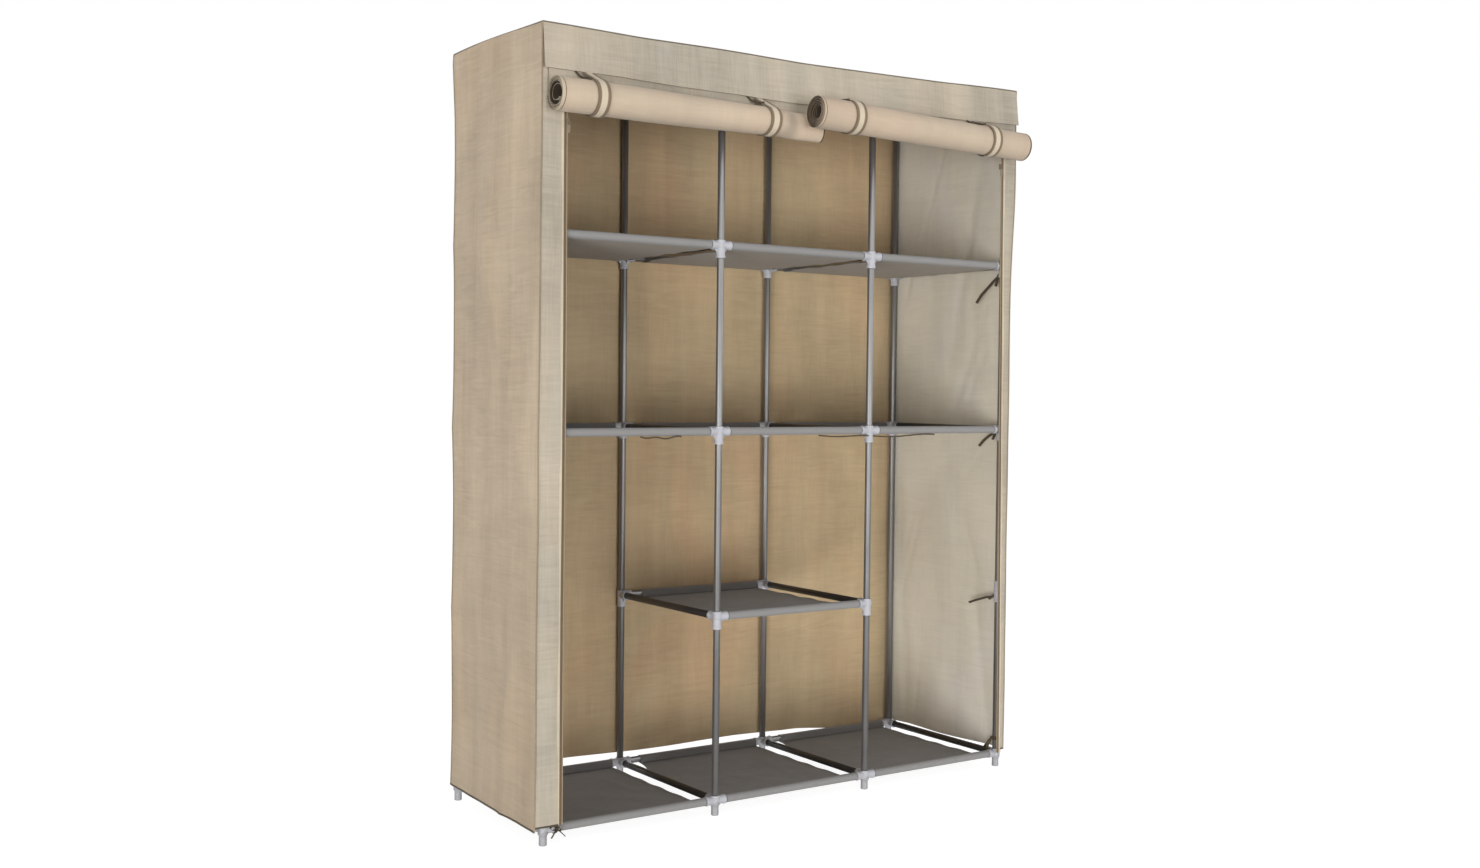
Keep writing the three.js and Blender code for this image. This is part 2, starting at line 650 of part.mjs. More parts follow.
function addPiece(name, geometry, finish, place = [0, 0, 0], turn = 0) {
  const mesh = new THREE.Mesh(welded(geometry), finishes[finish]);
  mesh.name = name;
  mesh.position.set(...place);
  mesh.rotation.z = turn;
  wardrobe.add(mesh);
}

const rows = [
  { name: 'front', y: frontRow, turn: 0 },
  { name: 'back', y: backRow, turn: Math.PI },
];
const innerColumns = columns.slice(1, BAY_COUNT);
const columnLabel = (column) => String(column + 1);

function addFrame() {
  rows.forEach((row) => {
    columns.forEach((column) => {
      const hasCoupler = row.name === 'front' && (column === 0 || column === BAY_COUNT);
      const name = `post_${row.name}_${columnLabel(column)}`;
      addPiece(name, postGeometry(hasCoupler), 'steel', [postPlace(column), row.y, 0]);
    });
    addPiece(`rail_bottom_${row.name}`, railGeometry(columns, footedSleeve), 'plastic',
      [0, row.y, levelHeight(LEVEL.bottom)], row.turn);
    addPiece(`rail_low_${row.name}`, railGeometry(innerColumns, throughSleeve), 'plastic',
      [0, row.y, levelHeight(LEVEL.low)], row.turn);
    ['middle', 'upper'].forEach((level) => {
      addPiece(`rail_${level}_${row.name}`, railGeometry(columns, throughSleeve), 'plastic',
        [0, row.y, levelHeight(LEVEL[level])], row.turn);
    });
  });
  addPiece('top_frame', topFrameGeometry(), 'plastic', [0, 0, railTop]);
}

function addShelvesAndDepthTubes() {
  Object.entries(LEVEL).filter(([, level]) => level < LEVEL.top).forEach(([name, level]) => {
    const levelColumns = level === LEVEL.low ? innerColumns : columns;
    levelColumns.forEach((column) => {
      addPiece(`depth_tube_${name}_${columnLabel(column)}`, depthTubeGeometry(), 'steel',
        [postPlace(column), 0, levelHeight(level)]);
    });
    levelColumns.slice(0, -1).forEach((column) => {
      addPiece(`shelf_${name}_${columnLabel(column)}`, shelfGeometry(), 'shelf',
        [postPlace(column) + BAY_PITCH / 2, 0, levelHeight(level)]);
    });
  });
}

function addCover() {
  addPiece('cover_top', coverTopGeometry(), 'cover');
  addPiece('cover_back', coverBackGeometry(), 'cover');
  addPiece('cover_left_side', coverSideGeometry(-1, SIDE_HEM_LEFT), 'cover');
  addPiece('cover_right_side', coverSideGeometry(1, SIDE_HEM_RIGHT), 'cover');
  addPiece('cover_left_front_strip', stripGeometry(leftStrip), 'cover');
  addPiece('cover_right_front_strip', stripGeometry(rightStrip), 'cover');
  addPiece('cover_valance', valanceGeometry(), 'cover');
}

function addDoors() {
  addPiece('door_left', doorGeometry(leftRoll), 'door');
  addPiece('door_right', doorGeometry(rightRoll), 'door');
  leftRoll.straps.forEach((place, at) => {
    addPiece(`strap_left_${at + 1}`, strapGeometry(leftRoll, place), 'strap');
  });
  rightRoll.straps.forEach((place, at) => {
    addPiece(`strap_right_${at + 1}`, strapGeometry(rightRoll, place), 'strap');
  });
}

function addZip(name, strip, rollAxis) {
  const z = rollAxis - SLIDER_BELOW_AXIS;
  const tapeEdge = stripEdgeAt(strip, z) - SEAM_GAP - TAPE_WIDTH;
  const x = strip.side * (tapeEdge - SEAM_GAP - SLIDER_WEB / 2);
  const tabDepth = zipPlane - SLIDER_SLOT / 2 - SLIDER_WALL - ARCH_ROOM / 2;
  addPiece(`zip_tape_${name}`, zipTapeGeometry(strip), 'tape');
  addPiece(`zip_slider_${name}`, sliderGeometry(), 'zip', [x, zipPlane, z]);
  addPiece(`zip_tab_${name}`, tabGeometry(), 'zip', [x, tabDepth, z]);
}

addFrame();
addShelvesAndDepthTubes();
addCover();
addDoors();
addZip('left', leftStrip, leftRoll.sectionAt(leftRollStart).z);
addZip('right', rightStrip, rightRoll.sectionAt(rightRollEnd).z);

// The origin stands on the floor at the middle of the whole footprint, rolled doors included
const bounds = new THREE.Box3().setFromObject(wardrobe);
const middle = bounds.getCenter(new THREE.Vector3());
wardrobe.position.set(-middle.x, -middle.y, -bounds.min.z);

console.log(`Least gap in the left roll ${leastGap(leftRoll).toFixed(2)} mm`);
console.log(`Least gap in the right roll ${leastGap(rightRoll).toFixed(2)} mm`);

export default wardrobe;
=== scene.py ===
"""Looks of a portable fabric wardrobe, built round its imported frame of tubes.

All sizes here are millimetres, measured from the middle of the tube frame at floor height, with
x to the right, y to the back and z up. Workshop.make turns them into the row frame's metres.
"""

import logging
import math
from dataclasses import dataclass, field, replace
from enum import Enum
from typing import Any, Mapping, Sequence

import bmesh
import bpy
import numpy as np
from mathutils import Matrix, Vector

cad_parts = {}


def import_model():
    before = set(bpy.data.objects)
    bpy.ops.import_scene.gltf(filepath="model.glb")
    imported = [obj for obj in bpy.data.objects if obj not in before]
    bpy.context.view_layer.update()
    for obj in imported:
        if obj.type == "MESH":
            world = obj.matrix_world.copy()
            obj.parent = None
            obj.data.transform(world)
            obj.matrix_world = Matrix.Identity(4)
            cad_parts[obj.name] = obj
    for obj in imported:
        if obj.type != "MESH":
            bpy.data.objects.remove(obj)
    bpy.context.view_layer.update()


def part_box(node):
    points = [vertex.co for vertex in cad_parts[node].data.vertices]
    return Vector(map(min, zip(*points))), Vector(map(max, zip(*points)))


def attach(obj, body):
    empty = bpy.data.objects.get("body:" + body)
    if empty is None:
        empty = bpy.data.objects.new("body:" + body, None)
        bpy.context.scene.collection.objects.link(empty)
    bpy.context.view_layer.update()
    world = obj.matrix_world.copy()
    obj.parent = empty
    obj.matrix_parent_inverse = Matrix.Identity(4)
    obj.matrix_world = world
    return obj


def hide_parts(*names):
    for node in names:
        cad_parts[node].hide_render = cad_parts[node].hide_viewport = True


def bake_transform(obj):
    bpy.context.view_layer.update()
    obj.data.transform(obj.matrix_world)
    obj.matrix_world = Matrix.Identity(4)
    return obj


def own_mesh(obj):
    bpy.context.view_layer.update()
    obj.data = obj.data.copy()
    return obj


LOG = logging.getLogger("wardrobe")
MM = 0.001
TURN = 2.0 * math.pi

Array = np.ndarray
Colour = tuple[float, float, float]
WHITE: Colour = (1.0, 1.0, 1.0)


# Curves and easing


def ease(share: Array | float) -> Array:
    """Smooth step from 0 to 1: s * s * (3 - 2 s), with s held between 0 and 1."""
    held = np.clip(np.asarray(share, float), 0.0, 1.0)
    return held * held * (3.0 - 2.0 * held)


def mix(start: Array | float, end: Array | float, share: Array | float) -> Array:
    """Straight blend from start to end by a share."""
    return np.asarray(start) + (np.asarray(end) - np.asarray(start)) * np.asarray(share)


def unit(vectors: Array) -> Array:
    """Vectors divided by their own lengths."""
    return vectors / np.maximum(np.linalg.norm(vectors, axis=-1, keepdims=True), 1e-9)


def arch(share: Array | float) -> Array:
    """Half a wave over a share: sin(pi * share)."""
    return np.sin(math.pi * np.asarray(share))


def travelled(points: Array) -> Array:
    """Distance from the first point of a line to each of its points."""
    return np.concatenate([[0.0], np.cumsum(np.linalg.norm(np.diff(points, axis=0), axis=-1))])


def smooth_line(x: Array | float, places: Sequence[float], heights: Sequence[float],
                reach: int) -> Array:
    """A line through measured heights, each averaged with its neighbours at every 3.5 mm.

    Args:
        x: where to read it.
        places: where the heights were measured.
        heights: what they are.
        reach: neighbours that count on each side.

    Returns:
        Its height at x.
    """
    fine, count = np.linspace(-700.0, 700.0, 401), 2 * reach + 1
    line = np.pad(np.interp(fine, places, heights), reach, mode="edge")
    return np.interp(x, fine, np.convolve(line, np.ones(count) / count, mode="valid"))


def flat_places(across: Array, down: Array) -> Array:
    """Places on the flat cloth in metres, from millimetres across it and down it."""
    return np.stack(np.broadcast_arrays(across, down), axis=-1) * MM


def circle(sides: int, wide: float = 1.0, tall: float = 1.0) -> Array:
    """Closed outline of an oval: wide * cos a, tall * sin a at even angles."""
    angle = np.arange(sides) / sides * TURN
    return np.stack([np.cos(angle) * wide, np.sin(angle) * tall], axis=1)


def resampled(corners: Sequence[Sequence[float]], count: int, smooth: float = 0.0) -> Array:
    """Points at even steps along a line through corners.

    Args:
        corners: the line's corners, each x, y, z.
        count: how many points to return.
        smooth: share of the spacing over which each corner is rounded, by averaging neighbours.

    Returns:
        An array of count points.
    """
    knots = np.asarray(corners, float)
    at = travelled(knots)
    even = np.linspace(0.0, at[-1], count)
    line = np.stack([np.interp(even, at, knots[:, axis]) for axis in range(3)], axis=1)
    for _ in range(int(smooth * count)):
        line[1:-1] = (line[:-2] + 2.0 * line[1:-1] + line[2:]) / 4.0
    return line


# Surfaces


@dataclass
class Shape:
    """Grids of points gathered into one mesh, in millimetres."""

    points: list[Array] = field(default_factory=list)
    faces: list[Array] = field(default_factory=list)
    corners: list[Array] = field(default_factory=list)
    slots: list[Array] = field(default_factory=list)
    count: int = 0

    def many(self, points: Array, slot: int = 0, wrap: bool = False, uv: Array | None = None) -> None:
        """Adds copies of one grid of quads: copies x rows x columns x 3 points.

        Args:
            points: the places of the points.
            slot: material slot of the faces.
            wrap: whether the last column joins the first.
            uv: flat places in metres, with one more column than points when wrap is set.
        """
        copies, rows, columns = points.shape[:3]
        index = np.arange(copies * rows * columns).reshape(copies, rows, columns) + self.count
        if wrap:
            index = np.concatenate([index, index[:, :, :1]], axis=2)
        if uv is None:
            wide = np.arange(index.shape[2]) / max(index.shape[2] - 1, 1)
            tall = np.arange(rows) / max(rows - 1, 1)
            flat = np.stack(np.meshgrid(wide, tall), axis=-1) * 0.02
            uv = np.broadcast_to(flat, (copies, rows, index.shape[2], 2))
        around = [(slice(None, -1), slice(None, -1)), (slice(None, -1), slice(1, None)),
                  (slice(1, None), slice(1, None)), (slice(1, None), slice(None, -1))]
        quads = np.stack([index[:, a, b] for a, b in around], axis=-1).reshape(-1, 4)
        places = np.stack([uv[:, a, b] for a, b in around], axis=-2).reshape(-1, 4, 2)
        self.points.append(points.reshape(-1, 3))
        self.faces.append(quads)
        self.corners.append(places)
        self.slots.append(np.full(len(quads), slot))
        self.count += copies * rows * columns

    def grid(self, points: Array, slot: int = 0, wrap: bool = False, uv: Array | None = None) -> None:
        """Adds one grid of quads: rows x columns x 3 points."""
        self.many(points[None], slot, wrap, None if uv is None else uv[None])

    def cloth(self, points: Array, thickness: Array | float, slots: tuple[int, int, int] = (0, 0, 0),
              uv: Array | None = None) -> None:
        """Adds a sheet with two faces and a rim.

        Each face is the grid moved along its own normals, which are the cross product of the steps
        along its rows and along its columns, by half of the thickness.

        Args:
            points: rows x columns x 3, the middle of the cloth.
            thickness: one number, or one for each point.
            slots: material slots of the face that the normals point to, the other face and the rim.
            uv: flat places in metres.
        """
        across, along = np.gradient(points, axis=1), np.gradient(points, axis=0)
        normals = unit(np.cross(across, along))
        half = (np.broadcast_to(np.asarray(thickness, float), points.shape[:2]) / 2.0)[..., None]
        near, far = points + normals * half, points - normals * half
        if uv is None:
            uv = np.stack(np.meshgrid(travelled(points[0]), travelled(points[:, 0])), axis=-1) * MM
        self.grid(near, slots[0], uv=uv)
        self.grid(far[:, ::-1], slots[1], uv=uv[:, ::-1])
        for side in ((0, slice(None)), (-1, slice(None)), (slice(None), 0), (slice(None), -1)):
            self.grid(np.stack([near[side], far[side]]), slots[2], uv=np.stack([uv[side], uv[side]]))

    def lathe(self, profile: Sequence[tuple[float, float]], centre: Sequence[float],
              axis: Sequence[float], sides: int, slot: int = 0) -> None:
        """Adds a turned solid: at each angle a, centre + s * axis + r * (cos a * e + sin a * f).

        Args:
            profile: pairs of place along the axis and radius; a closed profile makes a ring.
            centre: where the axis starts.
            axis: its direction, of length 1.
            sides: how many columns go round.
            slot: material slot.
        """
        line = np.asarray(profile, float)
        direction = np.asarray(axis, float)
        helper = np.array([0.0, 0.0, 1.0]) if abs(direction[2]) < 0.9 else np.array([1.0, 0.0, 0.0])
        first = unit(np.cross(direction, helper))
        second = np.cross(direction, first)
        angle = np.arange(sides) / sides * TURN
        ring = np.cos(angle)[:, None] * first + np.sin(angle)[:, None] * second
        points = (np.asarray(centre, float) + line[:, :1, None] * direction
                  + line[:, 1:, None] * ring[None])
        girth = TURN * max(float(line[:, 1].max()), 0.1) * MM
        uv = np.stack(np.meshgrid(np.linspace(0.0, girth, sides + 1), travelled(line) * MM), axis=-1)
        self.grid(points, slot, wrap=True, uv=uv)

    def sweep(self, path: Array, section: Array, up: Sequence[float], slot: int = 0,
              scale: Array | None = None) -> None:
        """Adds a solid with one section all along a path.

        Each point is path + a * side + b * lift, where side is the cross product of the path's
        direction and up, lift is the cross product of side and that direction, and a, b is a point of
        the section. Both ends are closed on their middles.

        Args:
            path: points x 3.
            section: closed outline, points x 2.
            up: direction that is never along the path.
            slot: material slot.
            scale: size of the section at each point of the path.
        """
        tangent = unit(np.gradient(path, axis=0))
        side = unit(np.cross(tangent, np.asarray(up, float)))
        lift = np.cross(side, tangent)
        size = np.ones(len(path)) if scale is None else scale
        points = (path[:, None] + size[:, None, None] * (section[None, :, :1] * side[:, None]
                                                         + section[None, :, 1:] * lift[:, None]))
        ends = [np.broadcast_to(path[at], points[at].shape)[None] for at in (0, -1)]
        points = np.concatenate([ends[0], points, ends[1]])
        girth = travelled(np.concatenate([section, section[:1]]))
        uv = np.stack(np.meshgrid(girth, travelled(points.mean(axis=1))), axis=-1) * MM
        self.grid(points, slot, wrap=True, uv=uv)

    def pebble(self, centre: Sequence[float], halves: Sequence[float], square: float = 0.35,
               slot: int = 0) -> None:
        """Adds a rounded block: half * sign(cos) * |cos| ** square round it and over it.

        Args:
            centre: its middle.
            halves: half its size along each axis.
            square: 1 gives a ball, and less gives flatter faces.
            slot: material slot.
        """
        over = np.linspace(-math.pi / 2, math.pi / 2, 17)[:, None]
        round_it = (np.arange(32) / 32 * TURN)[None]

        def power(value: Array) -> Array:
            """A sine or cosine pushed out towards 1, with its sign kept."""
            return np.sign(value) * np.abs(value) ** square

        unit_points = np.stack(np.broadcast_arrays(
            power(np.cos(over)) * power(np.cos(round_it)),
            power(np.cos(over)) * power(np.sin(round_it)), power(np.sin(over))), axis=-1)
        unit_points[0, :, :2] = 0.0
        unit_points[-1, :, :2] = 0.0
        self.grid(np.asarray(centre, float) + unit_points * np.asarray(halves, float), slot, wrap=True)

    def stitches(self, path: Array, normal: Sequence[float], slot: int = 0, length: float = 3.4,
                 gap: float = 2.0, width: float = 0.8) -> None:
        """Adds a row of stitches: small barrels along a path, six sided and thin at both ends.

        Args:
            path: points x 3.
            normal: where the cloth faces.
            slot: material slot.
            length: of one stitch.
            gap: between two stitches.
            width: of the thread.
        """
        at = travelled(path)
        number = max(int(at[-1] // (length + gap)), 1)
        middles = (np.arange(number) + 0.5) * at[-1] / number
        share = np.array([-0.5, -0.38, 0.0, 0.38, 0.5])
        size = np.array([0.02, 0.8, 1.0, 0.8, 0.02]) * width / 2.0
        where = middles[:, None] + share[None] * length
        spine = np.stack([np.interp(where, at, path[:, axis]) for axis in range(3)], axis=-1)
        direction = unit(spine[:, -1:] - spine[:, :1])
        lift = unit(np.broadcast_to(np.asarray(normal, float), direction.shape))
        side = unit(np.cross(direction, lift))
        angle = np.arange(6) / 6 * TURN
        ring = (np.cos(angle)[None, None, :, None] * side[:, :, None]
                + np.sin(angle)[None, None, :, None] * lift[:, :, None] * 0.7)
        self.many(spine[:, :, None] + ring * size[None, :, None, None], slot, wrap=True)

    def cord(self, path: Array, radius: float, up: Sequence[float], sides: int = 10,
             slot: int = 0) -> None:
        """Adds a round cord along a path."""
        self.sweep(path, circle(sides, radius, radius), up, slot)

    def ribbon(self, path: Array, width: float, thickness: float, across: Sequence[float],
               slot: int = 0, taper: Array | None = None) -> None:
        """Adds a flat ribbon.

        Args:
            path: points x 3.
            width: of the ribbon.
            thickness: of the ribbon.
            across: where its width lies, before it is made square to the path.
            slot: material slot.
            taper: share of the width at each point.
        """
        tangent = unit(np.gradient(path, axis=0))
        across = np.asarray(across, float)
        wide = across - np.sum(tangent * across, axis=1)[:, None] * tangent
        share = np.linspace(-0.5, 0.5, 5)
        size = np.full(len(path), width) if taper is None else width * taper
        points = path[:, None] + unit(wide)[:, None] * (share[None, :, None] * size[:, None, None])
        self.cloth(points, thickness, (slot, slot, slot))


# Shader maths


class Signal:
    """A socket that takes part in arithmetic: each operator adds one Math node."""

    def __init__(self, desk: "Desk", socket: bpy.types.NodeSocket) -> None:
        """Keeps the tree's desk and the socket."""
        self.desk = desk
        self.socket = socket

    def _math(self, operation: str, first: Any, second: Any = 0.0, clamp: bool = False) -> "Signal":
        """One Math node of two values."""
        return self.desk.add("ShaderNodeMath", {"operation": operation, "use_clamp": clamp},
                             {0: first, 1: second})

    def __add__(self, other: Any) -> "Signal":
        """Self plus other."""
        return self._math("ADD", self, other)

    __radd__ = __add__

    def __sub__(self, other: Any) -> "Signal":
        """Self less other."""
        return self._math("SUBTRACT", self, other)

    def __rsub__(self, other: Any) -> "Signal":
        """Other less self."""
        return self._math("SUBTRACT", other, self)

    def __mul__(self, other: Any) -> "Signal":
        """Self times other."""
        return self._math("MULTIPLY", self, other)

    __rmul__ = __mul__

    def __truediv__(self, other: Any) -> "Signal":
        """Self over other."""
        return self._math("DIVIDE", self, other)

    def sine(self) -> "Signal":
        """Sine of self, in radians."""
        return self._math("SINE", self)

    def distance_to(self, place: float) -> "Signal":
        """How far self is from a number."""
        return self._math("ABSOLUTE", self - place)

    def held(self) -> "Signal":
        """Self kept between 0 and 1."""
        return self._math("ADD", self, 0.0, clamp=True)


class Desk:
    """A node tree, and the one method that adds nodes to it."""

    def __init__(self, owner: bpy.types.Material | bpy.types.World) -> None:
        """Opens the node tree of a new material or world."""
        owner.use_nodes = True
        self.owner = owner
        self.tree = owner.node_tree

    def add(self, kind: str, settings: Mapping[str, Any] | None = None,
            inputs: Mapping[int | str, Any] | None = None, output: int | str = 0) -> Signal:
        """Adds a node.

        Args:
            kind: the node's type.
            settings: its properties, set first.
            inputs: values or signals for its sockets.
            output: which of its outputs to return.

        Returns:
            The output as a signal.
        """
        node = self.tree.nodes.new(kind)
        for key, value in (settings or {}).items():
            setattr(node, key, value)
        for key, value in (inputs or {}).items():
            self.feed(node.inputs[key], value)
        return Signal(self, node.outputs[output])

    def feed(self, socket: bpy.types.NodeSocket, value: Any) -> None:
        """Links a signal to a socket, or sets its number or colour.

        Args:
            socket: the input to fill.
            value: a signal, a number, or a colour of three parts.
        """
        if isinstance(value, Signal):
            self.tree.links.new(value.socket, socket)
        elif socket.type == "RGBA" and len(value) == 3:
            socket.default_value = (*value, 1.0)
        else:
            socket.default_value = value

    def place(self, kind: str) -> Signal:
        """Texture coordinates: UV or Object."""
        return self.add("ShaderNodeTexCoord", output=kind)

    def stretched(self, place: Signal, scale: Colour) -> Signal:
        """Coordinates times a scale along each axis."""
        return self.add("ShaderNodeVectorMath", {"operation": "MULTIPLY"}, {0: place, 1: scale})

    def noise(self, place: Signal, scale: float, detail: float = 2.0, distortion: float = 0.0) -> Signal:
        """Noise from 0 to 1."""
        return self.add("ShaderNodeTexNoise", None, {"Vector": place, "Scale": scale, "Detail": detail,
                                                     "Distortion": distortion})

    def blend(self, factor: Any, first: Any, second: Any) -> Signal:
        """Mix of two colours."""
        return self.add("ShaderNodeMix", {"data_type": "RGBA"}, {0: factor, 6: first, 7: second}, 2)

    def bump(self, height: Signal, depth: float, strength: float,
             normal: Signal | None = None) -> Signal:
        """A bump.

        Args:
            height: from 0 to 1.
            depth: what a height of 1 stands for, in metres.
            strength: share of it that shows.
            normal: another bump under this one.

        Returns:
            The normal.
        """
        inputs: dict[int | str, Any] = {"Height": height, "Distance": depth, "Strength": strength}
        if normal is not None:
            inputs["Normal"] = normal
        return self.add("ShaderNodeBump", None, inputs)

    def finish(self, **inputs: Any) -> bpy.types.Material:
        """Feeds the Principled shader.

        Args:
            inputs: its sockets by name, with underscores for spaces.

        Returns:
            The finished material.
        """
        shader = self.tree.nodes["Principled BSDF"]
        for key, value in inputs.items():
            self.feed(shader.inputs[key.replace("_", " ").title().replace("Ior", "IOR")], value)
        return self.owner

    def end(self, output: str, shader: Signal) -> None:
        """Links a shader to the tree's output node of a given name."""
        self.feed(self.tree.nodes[output].inputs["Surface"], shader)


# Finishes


def shaded(colour: Colour, factor: float) -> Colour:
    """A colour times a factor, kept under 1."""
    return tuple(min(part * factor, 1.0) for part in colour)


@dataclass(frozen=True)
class Band:
    """A stripe of another colour on a cloth: between two distances across or down it, in metres."""

    start: float
    end: float
    colour: Colour
    down: bool = False
    soft: float = 0.00025


@dataclass(frozen=True)
class Cloth:
    """Non-woven or woven cloth: slubs both ways, soft blotches, fine grain and small creases."""

    name: str
    colour: Colour
    contrast: float = 0.20
    tint: Colour = WHITE
    weave: float = 0.0016
    relief: float = 0.00022
    creases: float = 0.0035
    roughness: float = 0.88
    sheen: float = 0.12
    # share of painted shade towards the floor
    foot: float = 0.0
    bands: tuple[Band, ...] = ()

    def material(self) -> bpy.types.Material:
        """Builds the finish.

        Tone is 0.5 plus shares of five noises, less 0.5 each; it mixes a darker and a lighter version
        of the colour. Cast mixes in the tint. The weave's height is sin(u) * sin(v) over its spacing.
        Cloth with a foot gets painted shade towards the floor: it darkens from 0.8 m down.

        Returns:
            The material.
        """
        desk = Desk(bpy.data.materials.new(self.name))
        flat, solid = desk.place("UV"), desk.place("Object")
        slub = desk.noise(desk.stretched(flat, (8.0, 80.0, 1.0)), 1.0, 5.0, 1.4)
        warp = desk.noise(desk.stretched(flat, (230.0, 14.0, 1.0)), 1.0, 4.0, 0.6)
        broad = desk.noise(solid, 3.2, 3.0, 0.4)
        grain = desk.noise(flat, 700.0, 2.0)
        patch = (desk.noise(solid, 9.0, 2.0) - 0.5) * 1.6
        streak = desk.noise(desk.stretched(solid, (16.0, 16.0, 1.6)), 1.0, 3.0, 0.5)
        tone = (0.5 + (slub - 0.5) * (0.7 + patch) + (warp - 0.5) * (0.4 - patch) + (broad - 0.5) * 1.3
                + (streak - 0.5) * 0.9 + (grain - 0.5) * 0.5).held()
        cast = ((desk.noise(desk.stretched(solid, (1.0, 1.0, 0.5)), 4.4, 2.0, 0.8) - 0.42) * 3.2).held()
        other = tuple(part * share for part, share in zip(self.colour, self.tint))
        colour = desk.blend(tone, desk.blend(cast, shaded(self.colour, 1.0 - self.contrast),
                                             shaded(other, 1.0 - self.contrast)),
                            desk.blend(cast, shaded(self.colour, 1.0 + self.contrast),
                                       shaded(other, 1.0 + self.contrast)))
        # painted shade: the colour darkens towards the floor, from knee height down
        if self.foot:
            knee = 0.8
            height = desk.add("ShaderNodeSeparateXYZ", None, {0: solid}, 2)
            low = ((knee - height) / knee).held() * self.foot
            colour = desk.blend(low, colour, shaded(self.colour, 0.5))
        across = desk.add("ShaderNodeSeparateXYZ", None, {0: flat})
        down = desk.add("ShaderNodeSeparateXYZ", None, {0: flat}, 1)
        for band in self.bands:
            middle, half = (band.start + band.end) / 2.0, (band.end - band.start) / 2.0
            place = down if band.down else across
            mask = ((half - place.distance_to(middle)) / band.soft + 0.5).held()
            rib = desk.noise(desk.stretched(flat, (300.0, 1500.0, 1.0)), 1.0, 1.0)
            colour = desk.blend(mask, colour, desk.blend(rib, shaded(band.colour, 0.82),
                                                         shaded(band.colour, 1.18)))
        turn = TURN / self.weave
        dimple = (across * turn).sine() * (down * turn).sine()
        crease = desk.noise(desk.stretched(solid, (1.0, 1.0, 0.7)), 11.0, 4.0, 1.1)
        normal = desk.bump(crease, self.creases, 0.5)
        normal = desk.bump(dimple * 0.5 + slub + warp + grain * 0.5, self.relief, 0.55, normal)
        return desk.finish(base_color=colour, roughness=self.roughness - 0.1 * (tone - 0.5),
                           normal=normal, sheen_weight=self.sheen, specular_ior_level=0.25)


@dataclass(frozen=True)
class TubeCoat:
    """Grey coat on a steel tube: satin, with faint marks along it."""

    name: str
    colour: Colour
    metallic: float
    roughness: float

    def material(self) -> bpy.types.Material:
        """Tone comes from a noise that is long along the tube, and roughness follows it."""
        desk = Desk(bpy.data.materials.new(self.name))
        solid = desk.place("Object")
        cloud = desk.noise(solid, 9.0, 3.0)
        speck = desk.noise(solid, 700.0, 2.0)
        tone = (0.5 + (cloud - 0.5) * 0.9 + (speck - 0.5) * 0.5).held()
        colour = desk.blend(tone, shaded(self.colour, 0.86), shaded(self.colour, 1.14))
        return desk.finish(base_color=colour, roughness=self.roughness + 0.16 * (cloud - 0.5),
                           metallic=self.metallic, normal=desk.bump(speck, 0.00005, 0.5),
                           coat_weight=0.25, coat_roughness=0.2)


@dataclass(frozen=True)
class Moulding:
    """Moulded plastic or enamel: even, with a fine spark-eroded skin."""

    name: str
    colour: Colour
    roughness: float = 0.42
    metallic: float = 0.0

    def material(self) -> bpy.types.Material:
        """Tone comes from a broad and a fine noise; the fine one is the skin's height."""
        desk = Desk(bpy.data.materials.new(self.name))
        solid = desk.place("Object")
        broad = desk.noise(solid, 26.0, 3.0)
        skin = desk.noise(solid, 1600.0, 2.0)
        tone = (0.5 + (broad - 0.5) * 0.8 + (skin - 0.5) * 0.3).held()
        colour = desk.blend(tone, shaded(self.colour, 0.93), shaded(self.colour, 1.07))
        return desk.finish(base_color=colour, roughness=self.roughness + 0.12 * (broad - 0.5),
                           metallic=self.metallic, normal=desk.bump(skin, 0.00006, 0.4),
                           specular_ior_level=0.5)


SHELF_GREY: Colour = (0.188, 0.183, 0.183)
# lighter grey for the sleeves round the rails: painted highlight where they catch the light
SLEEVE_PAINTED_HIGHLIGHT: Colour = (0.262, 0.256, 0.250)
BINDING_COLOUR: Colour = (0.150, 0.105, 0.066)
CREAM: Colour = (0.56, 0.49, 0.36)
EDGE_BROWN: Colour = (0.215, 0.155, 0.100)
ROLL_BROWN: Colour = (0.110, 0.078, 0.050)
DOOR_CLOTH = Cloth("door_cloth", (0.538, 0.438, 0.328), contrast=0.11, creases=0.0015,
                   tint=(1.04, 0.98, 0.97))


def narrow(name: str, colour: Colour) -> Cloth:
    """Closely woven binding or piping."""
    return Cloth(name, colour, weave=0.0009, creases=0.0005)


